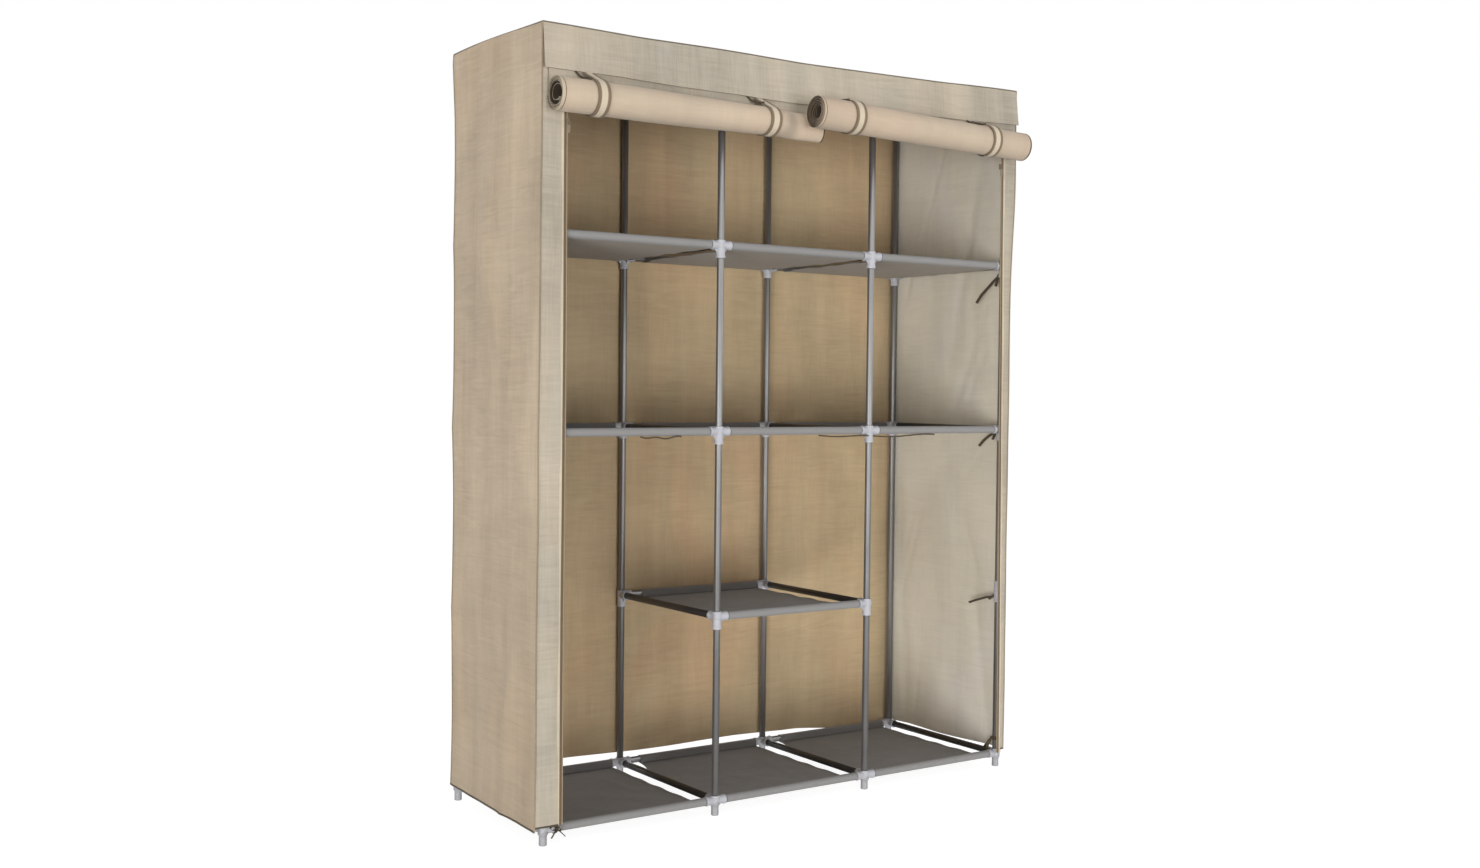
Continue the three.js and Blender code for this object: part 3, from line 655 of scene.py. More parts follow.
class Finish(Enum):
    """Every finish on the wardrobe."""

    COVER = Cloth("cover_cloth_outside", (0.428, 0.371, 0.288), contrast=0.26,
                  tint=(0.97, 1.02, 1.10))
    # the sides carry painted shade towards the floor through their foot
    SIDE = Cloth("cover_cloth_sides", (0.492, 0.396, 0.285), contrast=0.23, tint=(1.04, 0.99, 0.95),
                 foot=0.30)
    LINING = Cloth("cover_cloth_inside", (0.455, 0.348, 0.210), contrast=0.19,
                   tint=(1.08, 0.97, 0.95))
    # a paler copy of the lining for the right side's inside: painted light, for light coming in through
    # that wall
    PALE_LINING = Cloth("cover_cloth_right_inside", (0.700, 0.645, 0.530), contrast=0.12,
                        tint=(0.98, 1.0, 1.08))
    DOOR = DOOR_CLOTH
    ROLL_LEFT = replace(DOOR_CLOTH, name="door_cloth_left_roll",
                        bands=(Band(-0.001, 0.0022, CREAM), Band(0.0068, 0.0086, BINDING_COLOUR),
                               Band(0.6850, 0.6900, ROLL_BROWN)))
    ROLL_RIGHT = replace(DOOR_CLOTH, name="door_cloth_right_roll",
                         bands=(Band(0.0060, 0.0078, BINDING_COLOUR), Band(0.6840, 0.6905, ROLL_BROWN)))
    ROLL_INSIDE = Cloth("door_cloth_inside", (0.420, 0.330, 0.230), contrast=0.10, creases=0.0015,
                        # near black for 160 mm from the left end: painted shade deep inside the roll
                        bands=(Band(-0.001, 0.1600, (0.060, 0.044, 0.028)),
                               Band(0.6780, 0.6900, BINDING_COLOUR)))
    ROLL_DARK_EDGE = narrow("door_dark_edge_binding", EDGE_BROWN)
    ROLL_EDGE = narrow("door_edge_binding", (0.430, 0.355, 0.250))
    SHELF = Cloth("shelf_cloth", SHELF_GREY, contrast=0.14, weave=0.0014, creases=0.0018, sheen=0.25)
    SHELF_UNDER = Cloth("shelf_cloth_underside", (0.285, 0.242, 0.190), contrast=0.10, weave=0.0014,
                        creases=0.0018,
                        bands=(Band(-0.001, 0.018, SHELF_GREY, True, 0.005),
                               # the sleeve bands are painted highlight
                               Band(0.018, 0.050, SLEEVE_PAINTED_HIGHLIGHT, True, 0.005),
                               Band(0.475, 0.507, SLEEVE_PAINTED_HIGHLIGHT, True, 0.005),
                               Band(0.507, 0.530, SHELF_GREY, True, 0.005)))
    BINDING = narrow("edge_binding", BINDING_COLOUR)
    # real piping on the top, and on the valance's rim a painted shadow line under the hem
    PIPING = narrow("seam_piping", (0.150, 0.125, 0.092))
    HEM = narrow("hem_binding", (0.095, 0.074, 0.050))
    CORNER_PIPING = narrow("corner_piping", (0.290, 0.235, 0.165))
    RIBBON = Cloth("tie_ribbon", (0.075, 0.055, 0.034), weave=0.0008, creases=0.0008)
    TAPE = Cloth("zip_tape_cloth", CREAM, weave=0.0009, creases=0.0003,
                 bands=(Band(0.0040, 0.0100, BINDING_COLOUR),))
    STRAP = Cloth("strap_cloth", (0.62, 0.53, 0.40), contrast=0.08, weave=0.0010, creases=0.0006,
                  bands=(Band(-0.001, 0.0075, EDGE_BROWN), Band(0.0215, 0.030, EDGE_BROWN)))
    THREAD = Moulding("sewing_thread", (0.50, 0.43, 0.32), roughness=0.7)
    DARK_THREAD = Moulding("dark_thread", (0.09, 0.085, 0.085), roughness=0.7)
    COIL = Moulding("zip_coil", (0.30, 0.22, 0.14), roughness=0.38)
    STEEL = TubeCoat("tube_coat", (0.250, 0.246, 0.244), 0.80, 0.36)
    # a darker copy of the tube coat: painted shade for the depth tubes
    DARK_STEEL = TubeCoat("tube_coat_dark", (0.042, 0.038, 0.036), 0.50, 0.42)
    PLASTIC = Moulding("connector_plastic", (0.440, 0.442, 0.472), roughness=0.42)
    FOOT = Moulding("foot_plastic", (0.335, 0.335, 0.352), roughness=0.45)
    ENAMEL = Moulding("zip_enamel", (0.240, 0.185, 0.125), roughness=0.34, metallic=0.3)


class Workshop:
    """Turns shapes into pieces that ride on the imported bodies."""

    def __init__(self) -> None:
        """Finds where the tube frame stands in the row frame."""
        low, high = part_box("post_front_1")
        self.shift = np.array([0.0, (low.y + high.y) / 2.0 + FRAME.depth / 2.0 * MM, 0.0])
        self.materials: dict[Finish, bpy.types.Material] = {}

    def material(self, finish: Finish) -> bpy.types.Material:
        """The material of a finish, made once."""
        if finish not in self.materials:
            self.materials[finish] = finish.value.material()
        return self.materials[finish]

    def row(self, x: float, y: float, z: float) -> tuple[float, float, float]:
        """A place in the row frame, in metres."""
        return (x * MM, y * MM + float(self.shift[1]), z * MM)

    def make(self, name: str, shape: Shape, finishes: Sequence[Finish], slot: str,
             body: str | None = "frame_and_cover", replaces: Sequence[str] = (),
             sharp: float = 50.0) -> bpy.types.Object:
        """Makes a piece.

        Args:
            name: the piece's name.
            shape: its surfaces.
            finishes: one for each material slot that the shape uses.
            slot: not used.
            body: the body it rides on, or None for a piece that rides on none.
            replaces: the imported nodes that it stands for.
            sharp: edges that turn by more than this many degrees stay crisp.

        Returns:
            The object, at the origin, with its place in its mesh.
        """
        mesh = bpy.data.meshes.new(name)
        faces = np.concatenate(shape.faces)
        mesh.from_pydata((np.concatenate(shape.points) * MM + self.shift).tolist(), [], faces.tolist())
        layer = mesh.uv_layers.new(name="Flat")
        layer.data.foreach_set("uv", np.concatenate(shape.corners).reshape(-1).astype(np.float32))
        mesh.polygons.foreach_set("material_index", np.concatenate(shape.slots).astype(np.int32))
        for finish in finishes:
            mesh.materials.append(self.material(finish))
        model = bmesh.new()
        model.from_mesh(mesh)
        bmesh.ops.remove_doubles(model, verts=model.verts, dist=2e-6)
        bmesh.ops.recalc_face_normals(model, faces=model.faces)
        model.to_mesh(mesh)
        model.free()
        mesh.shade_smooth()
        mesh.set_sharp_from_angle(angle=math.radians(sharp))
        mesh.update()
        piece = bpy.data.objects.new(name, mesh)
        bpy.context.scene.collection.objects.link(piece)
        if body is not None:
            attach(piece, body)
        if replaces:
            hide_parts(*replaces)
        LOG.info("%s: %d faces", name, len(mesh.polygons))
        return piece


# Tube frame


@dataclass(frozen=True)
class FrameSizes:
    """Places of the tubes' middle lines."""

    posts: tuple[float, ...] = (-648.0, -216.0, 216.0, 648.0)
    bay: float = 432.0
    depth: float = 425.0
    rise: float = 415.0
    levels: tuple[tuple[str, float], ...] = (
        ("bottom", 34.0), ("low", 449.0), ("middle", 864.0), ("upper", 1279.0), ("top", 1694.0))
    tube: float = 8.0
    socket_reach: float = 26.0
    sleeve_drop: float = 29.0
    sleeve_rise: float = 11.0
    cap_rise: float = 10.9

    @property
    def front(self) -> float:
        """Depth of the front row of posts."""
        return -self.depth / 2.0

    @property
    def back(self) -> float:
        """Depth of the back row of posts."""
        return self.depth / 2.0

    def level(self, name: str) -> float:
        """Height of the tubes of a level."""
        return dict(self.levels)[name]


FRAME = FrameSizes()


def bay_wave(x: Array) -> Array:
    """0 at the posts and 1 half-way between them: |sin(pi * (x - post) / bay)|."""
    return np.abs(np.sin(math.pi * (x - FRAME.posts[1]) / FRAME.bay))


def level_wave(z: Array) -> Array:
    """0 at the levels and 1 half-way between them: |sin(pi * (z - level) / rise)|."""
    return np.abs(np.sin(math.pi * (z - FRAME.level("bottom")) / FRAME.rise))


@dataclass
class TubeFrame:
    """Posts, rails, depth tubes and their moulded connectors."""

    shop: Workshop
    sides: int = 32
    wall: float = 0.7
    hub_gap: float = 20.0
    post_foot: float = 23.4
    post_head: float = 8.0

    def tube(self, shape: Shape, start: Sequence[float], axis: Sequence[float], length: float) -> None:
        """A hollow tube: outer wall, end ring, inner wall and end ring, each end edge eased.

        Args:
            shape: what it is added to.
            start: middle of its first end.
            axis: the way that it runs.
            length: of the tube.
        """
        outer, inner, ease_by = FRAME.tube, FRAME.tube - self.wall, 0.25
        profile = [(0.0, inner), (0.0, outer - ease_by), (ease_by, outer), (length - ease_by, outer),
                   (length, outer - ease_by), (length, inner), (0.0, inner)]
        shape.lathe(profile, start, axis, self.sides)

    def socket(self, shape: Shape, centre: Sequence[float], axis: Sequence[float], reach: float,
               radius: float = 10.75) -> None:
        """A moulded socket: a tapered barrel from the hub, a rounded collar and the bore's mouth.

        Args:
            shape: what it is added to.
            centre: middle of the hub.
            axis: the way that it points.
            reach: from the hub's middle to its mouth.
            radius: of its collar.
        """
        barrel = radius - 0.95
        profile = [(0.0, 0.01), (0.0, barrel - 0.3), (reach - 6.2, barrel), (reach - 5.6, barrel + 0.2),
                   (reach - 5.1, radius - 0.15), (reach - 4.6, radius), (reach - 0.9, radius),
                   (reach - 0.25, radius - 0.25), (reach, radius - 0.8), (reach, FRAME.tube + 0.5),
                   (reach - 0.5, FRAME.tube + 0.12), (reach - 4.0, FRAME.tube + 0.1), (reach - 4.0, 0.01)]
        shape.lathe(profile, centre, axis, self.sides)

    def gusset(self, shape: Shape, centre: Sequence[float], arm: Sequence[float], fall: float) -> None:
        """A thin web in the corner of an arm and a sleeve, with a hollow slope between them.

        Its slope runs from 21 mm out along the arm to 4 mm short of the sleeve's fall, nearly as a
        quarter of an astroid: out * (1 - s) ** 1.6, down * s ** 1.6.

        Args:
            shape: what it is added to.
            centre: middle of the hub.
            arm: the way that the arm points.
            fall: how far the sleeve goes, less than 0 downwards.
        """
        share = np.linspace(0.0, 1.0, 11)
        out = 8.5 + 12.5 * (1.0 - share) ** 1.6
        down = 8.5 + (abs(fall) - 12.5) * share ** 1.6
        direction, sign = np.asarray(arm, float), math.copysign(1.0, fall)
        across = np.cross(direction, [0.0, 0.0, 1.0])
        slope = (np.asarray(centre, float) + out[:, None] * direction
                 + (sign * down)[:, None] * np.array([0.0, 0.0, 1.0]))
        root = (np.asarray(centre, float) + 6.0 * direction + np.array([0.0, 0.0, sign * 6.0]))
        half = 1.5
        offsets = np.array([-half, -half * 0.6, half * 0.6, half])
        pull = np.array([0.35, 0.0, 0.0, 0.35])
        inner = np.broadcast_to(root, slope.shape)
        outline = (slope[:, None] + across * offsets[None, :, None]
                   + unit(root - slope)[:, None] * pull[None, :, None])
        heart = inner[:, None] + across * np.array([-half, half])[None, :, None]
        points = np.concatenate([heart[:, :1], outline, heart[:, 1:]], axis=1)
        shape.grid(points, wrap=True)
        shape.grid(points[:1].repeat(2, axis=0))  # merges into the web's first section

    def connector(self, shape: Shape, x: float, y: float, level: str) -> None:
        """One connector: a hub, an arm for each tube that meets it, its sleeve and its webs.

        Args:
            shape: what it is added to.
            x: the post's place.
            y: the row's place.
            level: name of its level.
        """
        centre = (x, y, FRAME.level(level))
        inner = {"low": (-216.0, 216.0)}.get(level, FRAME.posts)
        arms = [(1.0, 0.0, 0.0)] * (x < inner[-1]) + [(-1.0, 0.0, 0.0)] * (x > inner[0])
        arms.append((0.0, 1.0 if y < 0 else -1.0, 0.0))
        for arm in arms:
            self.socket(shape, centre, arm, FRAME.socket_reach)
            self.gusset(shape, centre, arm, -(FRAME.sleeve_drop if level != "bottom" else 15.0))
        top = FRAME.sleeve_rise
        if level == "top":
            top = FRAME.cap_rise
            cap = [(0.0, 0.01), (0.0, 10.4), (top - 8.0, 10.6), (top - 2.2, 10.3), (top - 0.7, 9.4),
                   (top, 7.6), (top + 0.2, 0.01)]
            shape.lathe(cap, centre, (0.0, 0.0, 1.0), self.sides)
        else:
            self.socket(shape, centre, (0.0, 0.0, 1.0), top, 11.0)
        if level == "bottom":
            foot = [(0.0, 0.01), (0.0, 7.2), (0.5, 8.0), (1.4, 8.45), (3.2, 8.5), (16.0, 8.35),
                    (20.5, 8.5), (22.2, 9.3), (23.2, 10.4), (24.4, 10.95), (28.0, 10.9), (34.0, 10.6),
                    (34.0, 0.01)]
            shape.lathe(foot, (x, y, 0.0), (0.0, 0.0, 1.0), self.sides, slot=1)
        else:
            self.socket(shape, centre, (0.0, 0.0, -1.0), FRAME.sleeve_drop, 11.0)
        shape.pebble(centre, (10.7, 10.7, 10.7), 0.75)

    def posts(self) -> None:
        """The eight posts, and on the outer front ones a straight coupler at the low level."""
        for row, y in (("front", FRAME.front), ("back", FRAME.back)):
            for number, x in enumerate(FRAME.posts, start=1):
                shape = Shape()
                length = FRAME.level("top") - self.post_foot + self.post_head
                self.tube(shape, (x, y, self.post_foot), (0.0, 0.0, 1.0), length)
                node = f"post_{row}_{number}"
                self.shop.make(f"tube_{node}", shape, [Finish.STEEL], "steel_tube", replaces=[node])
                if row == "front" and number in (1, 4):
                    self.coupler(f"coupler_{row}_{number}", x, y)

    def coupler(self, name: str, x: float, y: float) -> None:
        """A straight coupler: a barrel with a collar at each end and a raised ring in the middle."""
        shape, half, radius = Shape(), 27.0, 10.75
        right = [(0.0, radius), (1.6, radius), (2.2, radius - 0.8), (half - 5.6, radius - 0.9),
                 (half - 4.8, radius), (half - 0.8, radius), (half, radius - 0.7), (half, FRAME.tube + 0.1)]
        left = [(-place, size) for place, size in reversed(right)]
        shape.lathe([*left, *right[1:], (-half, FRAME.tube + 0.1)], (x, y, FRAME.level("low")),
                    (0.0, 0.0, 1.0), self.sides)
        self.shop.make(name, shape, [Finish.PLASTIC], "connector_plastic")

    def rails(self) -> None:
        """The rails of both rows at every level, as tubes and connectors."""
        for level, z in FRAME.levels:
            places = FRAME.posts[1:3] if level == "low" else FRAME.posts
            for row, y in (("front", FRAME.front), ("back", FRAME.back)):
                tubes, plastic = Shape(), Shape()
                for start, end in zip(places, places[1:]):
                    self.tube(tubes, (start + self.hub_gap, y, z), (1.0, 0.0, 0.0),
                              end - start - 2.0 * self.hub_gap)
                for x in places:
                    self.connector(plastic, x, y, level)
                label = f"{level}_{row}"
                nodes = ["top_frame"] if level == "top" else [f"rail_{label}"]
                self.shop.make(f"rail_tubes_{label}", tubes, [Finish.STEEL], "steel_tube", replaces=nodes)
                finishes = [Finish.PLASTIC, Finish.FOOT] if level == "bottom" else [Finish.PLASTIC]
                self.shop.make(f"connectors_{label}", plastic, finishes, "connector_plastic",
                               replaces=nodes, sharp=38.0)

    def depth_tubes(self) -> None:
        """The tubes that join the front row to the back row; their darker coat is painted shade."""
        for level, z in FRAME.levels:
            numbers = (2, 3) if level == "low" else (1, 2, 3, 4)
            for number in numbers:
                shape = Shape()
                reach = FRAME.back - self.hub_gap
                self.tube(shape, (FRAME.posts[number - 1], -reach, z), (0.0, 1.0, 0.0), 2.0 * reach)
                node = "top_frame" if level == "top" else f"depth_tube_{level}_{number}"
                self.shop.make(f"tube_depth_{level}_{number}", shape, [Finish.DARK_STEEL], "steel_tube",
                               replaces=[node])

    def build(self) -> None:
        """Builds the whole frame."""
        self.posts()
        self.rails()
        self.depth_tubes()


# Soft parts


@dataclass(frozen=True)
class Folds:
    """Soft ridges of a cloth, each height * exp(-(across / width)^2 - (along / length)^2)."""

    seed: int
    count: int
    height: float
    width: tuple[float, float]
    length: tuple[float, float]
    lean: float = 0.35

    def over(self, u: Array, v: Array) -> Array:
        """Adds up the ridges.

        Args:
            u: places across the cloth.
            v: places along it.

        Returns:
            The ridges' height there.
        """
        rng = np.random.default_rng(self.seed)
        low, high = (float(u.min()), float(v.min())), (float(u.max()), float(v.max()))
        place = rng.uniform(low, high, (self.count, 2))
        turn = rng.uniform(-self.lean, self.lean, self.count)
        width = rng.uniform(*self.width, self.count)
        length = rng.uniform(*self.length, self.count)
        height = rng.uniform(-0.4, 1.0, self.count) * self.height
        du = u[None] - place[:, 0, None, None]
        dv = v[None] - place[:, 1, None, None]
        cos, sin = np.cos(turn)[:, None, None], np.sin(turn)[:, None, None]
        across = (du * cos - dv * sin) / width[:, None, None]
        along = (du * sin + dv * cos) / length[:, None, None]
        return np.sum(height[:, None, None] * np.exp(-across ** 2 - along ** 2), axis=0)


@dataclass
class Shelves:
    """Grey cloth shelves: each is one sheet whose front and back edges are sleeves for the rails.

    The sheet leaves the sleeves at their feet, so its paler underside turns up round the rails.
    """

    shop: Workshop
    half_width: float = 188.0
    cloth: float = 0.9
    sag: float = 3.2
    swell: float = 7.0
    notch: float = 27.0
    flap: float = 14.0
    clearance: float = 8.75

    def outline(self) -> tuple[Array, Array]:
        """Depth and height of the sheet's line: a flap round its tube, and under to the other one."""
        reach = math.hypot(self.flap, self.clearance - 1.6)
        touch = math.atan2(self.clearance - 1.6, self.flap) - math.acos(self.clearance / reach)
        arc = np.linspace(touch, math.pi / 2 - TURN, 22)
        flap_y = np.linspace(self.flap, self.clearance * math.cos(touch), 5)[:-1]
        flap_z = np.linspace(self.clearance - 1.6, self.clearance * math.sin(touch), 5)[:-1]
        y = np.concatenate([flap_y, self.clearance * np.cos(arc)]) + FRAME.front
        z = np.concatenate([flap_z, self.clearance * np.sin(arc)])
        web = np.linspace(FRAME.front, FRAME.back, 30)[1:-1]
        return (np.concatenate([y, web, -y[::-1]]),
                -np.concatenate([z, np.full(len(web), self.clearance), z[::-1]]))

    def sheet(self, name: str, level: str, number: int) -> None:
        """One shelf with its seams.

        Args:
            name: of the node that it stands for.
            level: name of its level.
            number: of its bay, from the left.
        """
        x0 = (FRAME.posts[number - 1] + FRAME.posts[number]) / 2.0
        z0 = FRAME.level(level)
        y, z = self.outline()
        share = np.clip((y - FRAME.front) / FRAME.depth, 0.0, 1.0)
        columns = np.linspace(-1.0, 1.0, 41)
        bend = arch(share)[:, None]
        swell = arch(share) ** 0.8
        left = self.half_width + self.swell * swell - self.notch * ease((share - 0.70) / 0.28)
        right = self.half_width + 1.5 * swell
        wide = np.where(columns < 0.0, left[:, None], right[:, None]) * columns[None]
        deep = np.broadcast_to(y[:, None], wide.shape)
        on_web = (z <= 0.01 - self.clearance)[:, None]
        folds = Folds(7 + number + int(z0), 14, 1.5, (8.0, 26.0), (60.0, 170.0), 1.4)
        dip = self.sag * bend * (1.0 - 0.45 * columns[None] ** 2)
        ripple = folds.over(wide, deep) * bend
        edge = 1.1 * np.sin(5.0 * TURN * share)[:, None] * np.abs(columns[None]) ** 14
        tall = z0 + z[:, None] - np.where(on_web, dip - ripple - edge * bend, 0.0)
        length = np.concatenate([[0.0], np.cumsum(np.hypot(np.diff(y), np.diff(z)))])
        hem = 1.0 + 0.9 * ease((np.abs(columns) - 0.955) / 0.008)
        shape = Shape()
        uv = flat_places(wide + self.half_width, length[:, None])
        points = np.stack([x0 + wide, deep, tall], axis=-1)
        shape.cloth(points, self.cloth * hem[None], (0, 2, 0), uv=uv)
        web_rows = np.flatnonzero(on_web[:, 0])
        for column in (1, -2):
            line = points[web_rows, column] + np.array([0.0, 0.0, 0.75 * self.cloth])
            shape.stitches(resampled(line, 120), (0.0, 0.0, 1.0), slot=1)
        for row in (FRAME.front + self.flap + 2.0, FRAME.back - self.flap - 2.0):
            at = int(np.argmin(np.abs(y[web_rows] - row)))
            line = points[web_rows[at]] + np.array([0.0, 0.0, 0.5 * self.cloth])
            shape.stitches(resampled(line[1:-1], 120), (0.0, 0.0, 1.0), slot=1)
        piece = self.shop.make(f"cloth_{name}", shape,
                               [Finish.SHELF, Finish.DARK_THREAD, Finish.SHELF_UNDER], "shelf_cloth",
                               replaces=[name])

    def build(self) -> None:
        """All ten shelves."""
        for level, _ in FRAME.levels[:-1]:
            for number in ((2,) if level == "low" else (1, 2, 3)):
                self.sheet(f"shelf_{level}_{number}", level, number)


class Side(Enum):
    """Left or right of the wardrobe."""

    LEFT = -1
    RIGHT = 1

    @property
    def label(self) -> str:
        """left or right."""
        return self.name.lower()


@dataclass
class Cover:
    """Beige cloth cover: two sides, back, top, front strips and valance, with piped seams."""

    shop: Workshop
    half_width: float = 660.4
    front: float = -226.0
    back: float = 224.9
    top: float = 1716.0
    cloth: float = 1.0
    bow: float = 2.6
    hem: float = 14.0
    strip_front: float = -225.9
    valance_front: float = -227.6
    valance_lean: float = 11.0
    valance_drop: float = 102.0
    cord: float = 1.7
    cord_steps: int = 160

    def panel(self, name: str, shape: Shape, finishes: Sequence[Finish]) -> None:
        """Makes a panel.

        Args:
            name: of the panel.
            shape: its surfaces.
            finishes: one for each material slot.
        """
        piece = self.shop.make(f"cloth_cover_{name}", shape, finishes, "cover_cloth",
                               replaces=[f"cover_{name}"])

    def thickness(self, above: Array, extra: float) -> Array:
        """Thickness at heights above the turned hem's edge: below it, more by an extra share."""
        return self.cloth * (1.0 + extra * (1.0 - ease(above / 1.5)))

    def flare(self, side: Side, is_front: bool, z: Array) -> Array:
        """How far a corner seam stands out beyond half the width.

        Args:
            side: which side.
            is_front: a front seam, or else a back one.
            z: heights on the seam.

        Returns:
            The distance: less between two levels, except on the right front seam, which flares at
            the top.
        """
        if side is Side.RIGHT and is_front:
            return 11.0 * ease((z - 1190.0) / 300.0)
        slack = level_wave(z)
        if is_front:
            return mix(14.0, 8.5, z / 1700.0) - slack
        if side is Side.LEFT:
            return 3.0 * ease((z - 1560.0) / 140.0) - 3.4 * slack ** 0.7
        return 1.6 * ease((z - 1500.0) / 200.0) - 1.2 * slack

    def hem_at(self, side: Side, share: Array | float) -> Array:
        """Height of the hem, from the front corner at 0 to the back corner at 1."""
        start, end = {Side.LEFT: (34.0, 36.0), Side.RIGHT: (45.0, 42.0)}[side]
        wave = 2.0 * np.sin(7.0 * np.asarray(share) + side.value)
        return mix(start, end, ease(share)) + wave * arch(share)

    def top_at(self, x: Array) -> Array:
        """Height of the top's front edge, a smooth line through measured heights."""
        places = (-661.0, -610.0, -432.0, -250.0, -182.0, 0.0, 180.0, 252.0, 312.0, 432.0, 508.0,
                  600.0, 673.0)
        heights = (1706.4, 1706.4, 1703.9, 1706.4, 1706.4, 1704.6, 1708.2, 1709.6, 1711.0, 1713.6,
                   1717.0, 1720.0, 1721.2)
        return smooth_line(x, places, heights, 8)

    def back_top(self, x: Array) -> Array:
        """Height of the top's back edge: it sags by 3 mm between two posts."""
        return self.top - 3.0 * bay_wave(x) ** 0.9

    def side_top(self, side: Side, share: Array) -> Array:
        """Height of a side's top edge, front to back: the left one arches up, the right one sags."""
        lift = {Side.LEFT: 3.4, Side.RIGHT: -2.4}[side]
        corner = float(self.top_at(side.value * self.half_width))
        return mix(corner, self.top, ease(share)) + lift * arch(share)

    def corner(self, side: Side, is_front: bool, z: Array) -> tuple[Array, Array]:
        """x and y of a corner seam at heights z."""
        wander = 0.7 * np.sin(z / 97.0 + 2.0 * side.value) + 0.5 * np.sin(z / 41.0)
        x = side.value * (self.half_width + self.flare(side, is_front, z))
        y = (self.front if is_front else self.back) + wander * (0.6 if is_front else 1.0)
        return x, y

    def side(self, side: Side) -> None:
        """A side: between its two corner seams it bows out by sin(pi t), with folds on top."""
        share = np.linspace(0.0, 1.0, 91)
        if side is Side.LEFT:
            share = share[::-1]
        rows = np.linspace(0.0, 1.0, 221)
        top = self.side_top(side, share)[None]
        low = self.hem_at(side, share)
        z = mix(low[None], top, rows[:, None])
        front, back = self.corner(side, True, z), self.corner(side, False, z)
        t = np.broadcast_to(share[None], z.shape)
        height = np.clip(z / self.top, 0.0, 1.0)
        swell = self.bow * arch(t) * (0.45 + 0.8 * height * (1.0 - height) * 2.0)
        folds = Folds(31 + side.value, 34, 3.4, (9.0, 34.0), (110.0, 420.0), 0.5)
        small = Folds(57 + side.value, 60, 1.5, (5.0, 12.0), (30.0, 120.0), 1.2)
        depth = mix(front[1], back[1], t)
        ripple = folds.over(depth, z) + small.over(depth, z)
        held = np.minimum(ease(t / 0.05), ease((1.0 - t) / 0.05)) * ease((top - z) / 30.0)
        billow = 3.0 * np.sin(TURN * t * 1.5 + 0.8) * np.sin(z / 260.0 + side.value)
        out = swell + np.maximum(ripple + billow, -1.2) * held
        x = mix(front[0], back[0], t) + side.value * out
        points = np.stack([x, depth, z], axis=-1)
        shape = Shape()
        shape.cloth(points, self.thickness(z - low[None] - self.hem, 1.1), (0, 1, 3),
                    uv=flat_places(depth, z))
        row = int(np.argmin(np.abs(z[:, 45] - low[45] - self.hem + 2.5)))
        normal = (float(side.value), 0.0, 0.0)
        shape.stitches(points[row] + np.array(normal) * self.cloth * 1.05, normal, slot=2)
        shape.cord(points[0] + np.array([side.value * 1.2, 0.0, 0.8]), 2.1, (1.0, 0.0, 0.0), slot=3)
        # the right side's inside takes the paler lining copy, which is painted light
        lining, tall = {Side.LEFT: (Finish.LINING, 1.680), Side.RIGHT: (Finish.PALE_LINING, 1.674)}[side]
        self.panel(f"{side.label}_side", shape, [Finish.SIDE, lining, Finish.THREAD, Finish.HEM])

    def back_panel(self) -> None:
        """The back: between the back corner seams it bows out a little in each bay, with folds."""
        share = np.linspace(0.0, 1.0, 181)
        rows = np.linspace(0.0, 1.0, 181)
        x0 = mix(self.half_width, -self.half_width, share)
        low = mix(60.0, 49.0, (x0 + self.half_width) / (2.0 * self.half_width)) + 2.2 * np.sin(x0 / 83.0)
        low = mix(36.0, low - 13.0 * ease((x0 - 330.0) / 170.0), ease((x0 + self.half_width) / 46.0))
        z = mix(low[None], self.top - 1.0, rows[:, None])
        right, left = self.corner(Side.RIGHT, False, z), self.corner(Side.LEFT, False, z)
        t = np.broadcast_to(share[None], z.shape)
        x = mix(right[0], left[0], t)
        folds = Folds(11, 60, 3.2, (10.0, 40.0), (150.0, 520.0), 0.3)
        small = Folds(12, 90, 1.4, (5.0, 14.0), (40.0, 130.0), 1.3)
        held = np.minimum(ease(t / 0.02), ease((1.0 - t) / 0.02)) * ease((self.top - z) / 30.0)
        waves = folds.over(x, z) + small.over(x, z) + 1.6 * np.sin(x / 70.0) * np.sin(z / 310.0)
        swell = self.bow * 0.8 * bay_wave(x) * arch(rows)[:, None]
        y = mix(right[1], left[1], t) + (swell + np.maximum(waves, -0.4)) * held
        points = np.stack([x, y, z], axis=-1)
        shape = Shape()
        shape.cloth(points, self.thickness(z - low[None] - self.hem, 1.1), (0, 1, 0),
                    uv=flat_places(x, z))
        row = int(np.argmin(np.abs(z[:, 90] - low[90] - self.hem + 2.5)))
        shape.stitches(points[row] + np.array([0.0, self.cloth * 1.05, 0.0]), (0.0, 1.0, 0.0), slot=2)
        self.panel("back", shape, [Finish.COVER, Finish.LINING, Finish.THREAD])

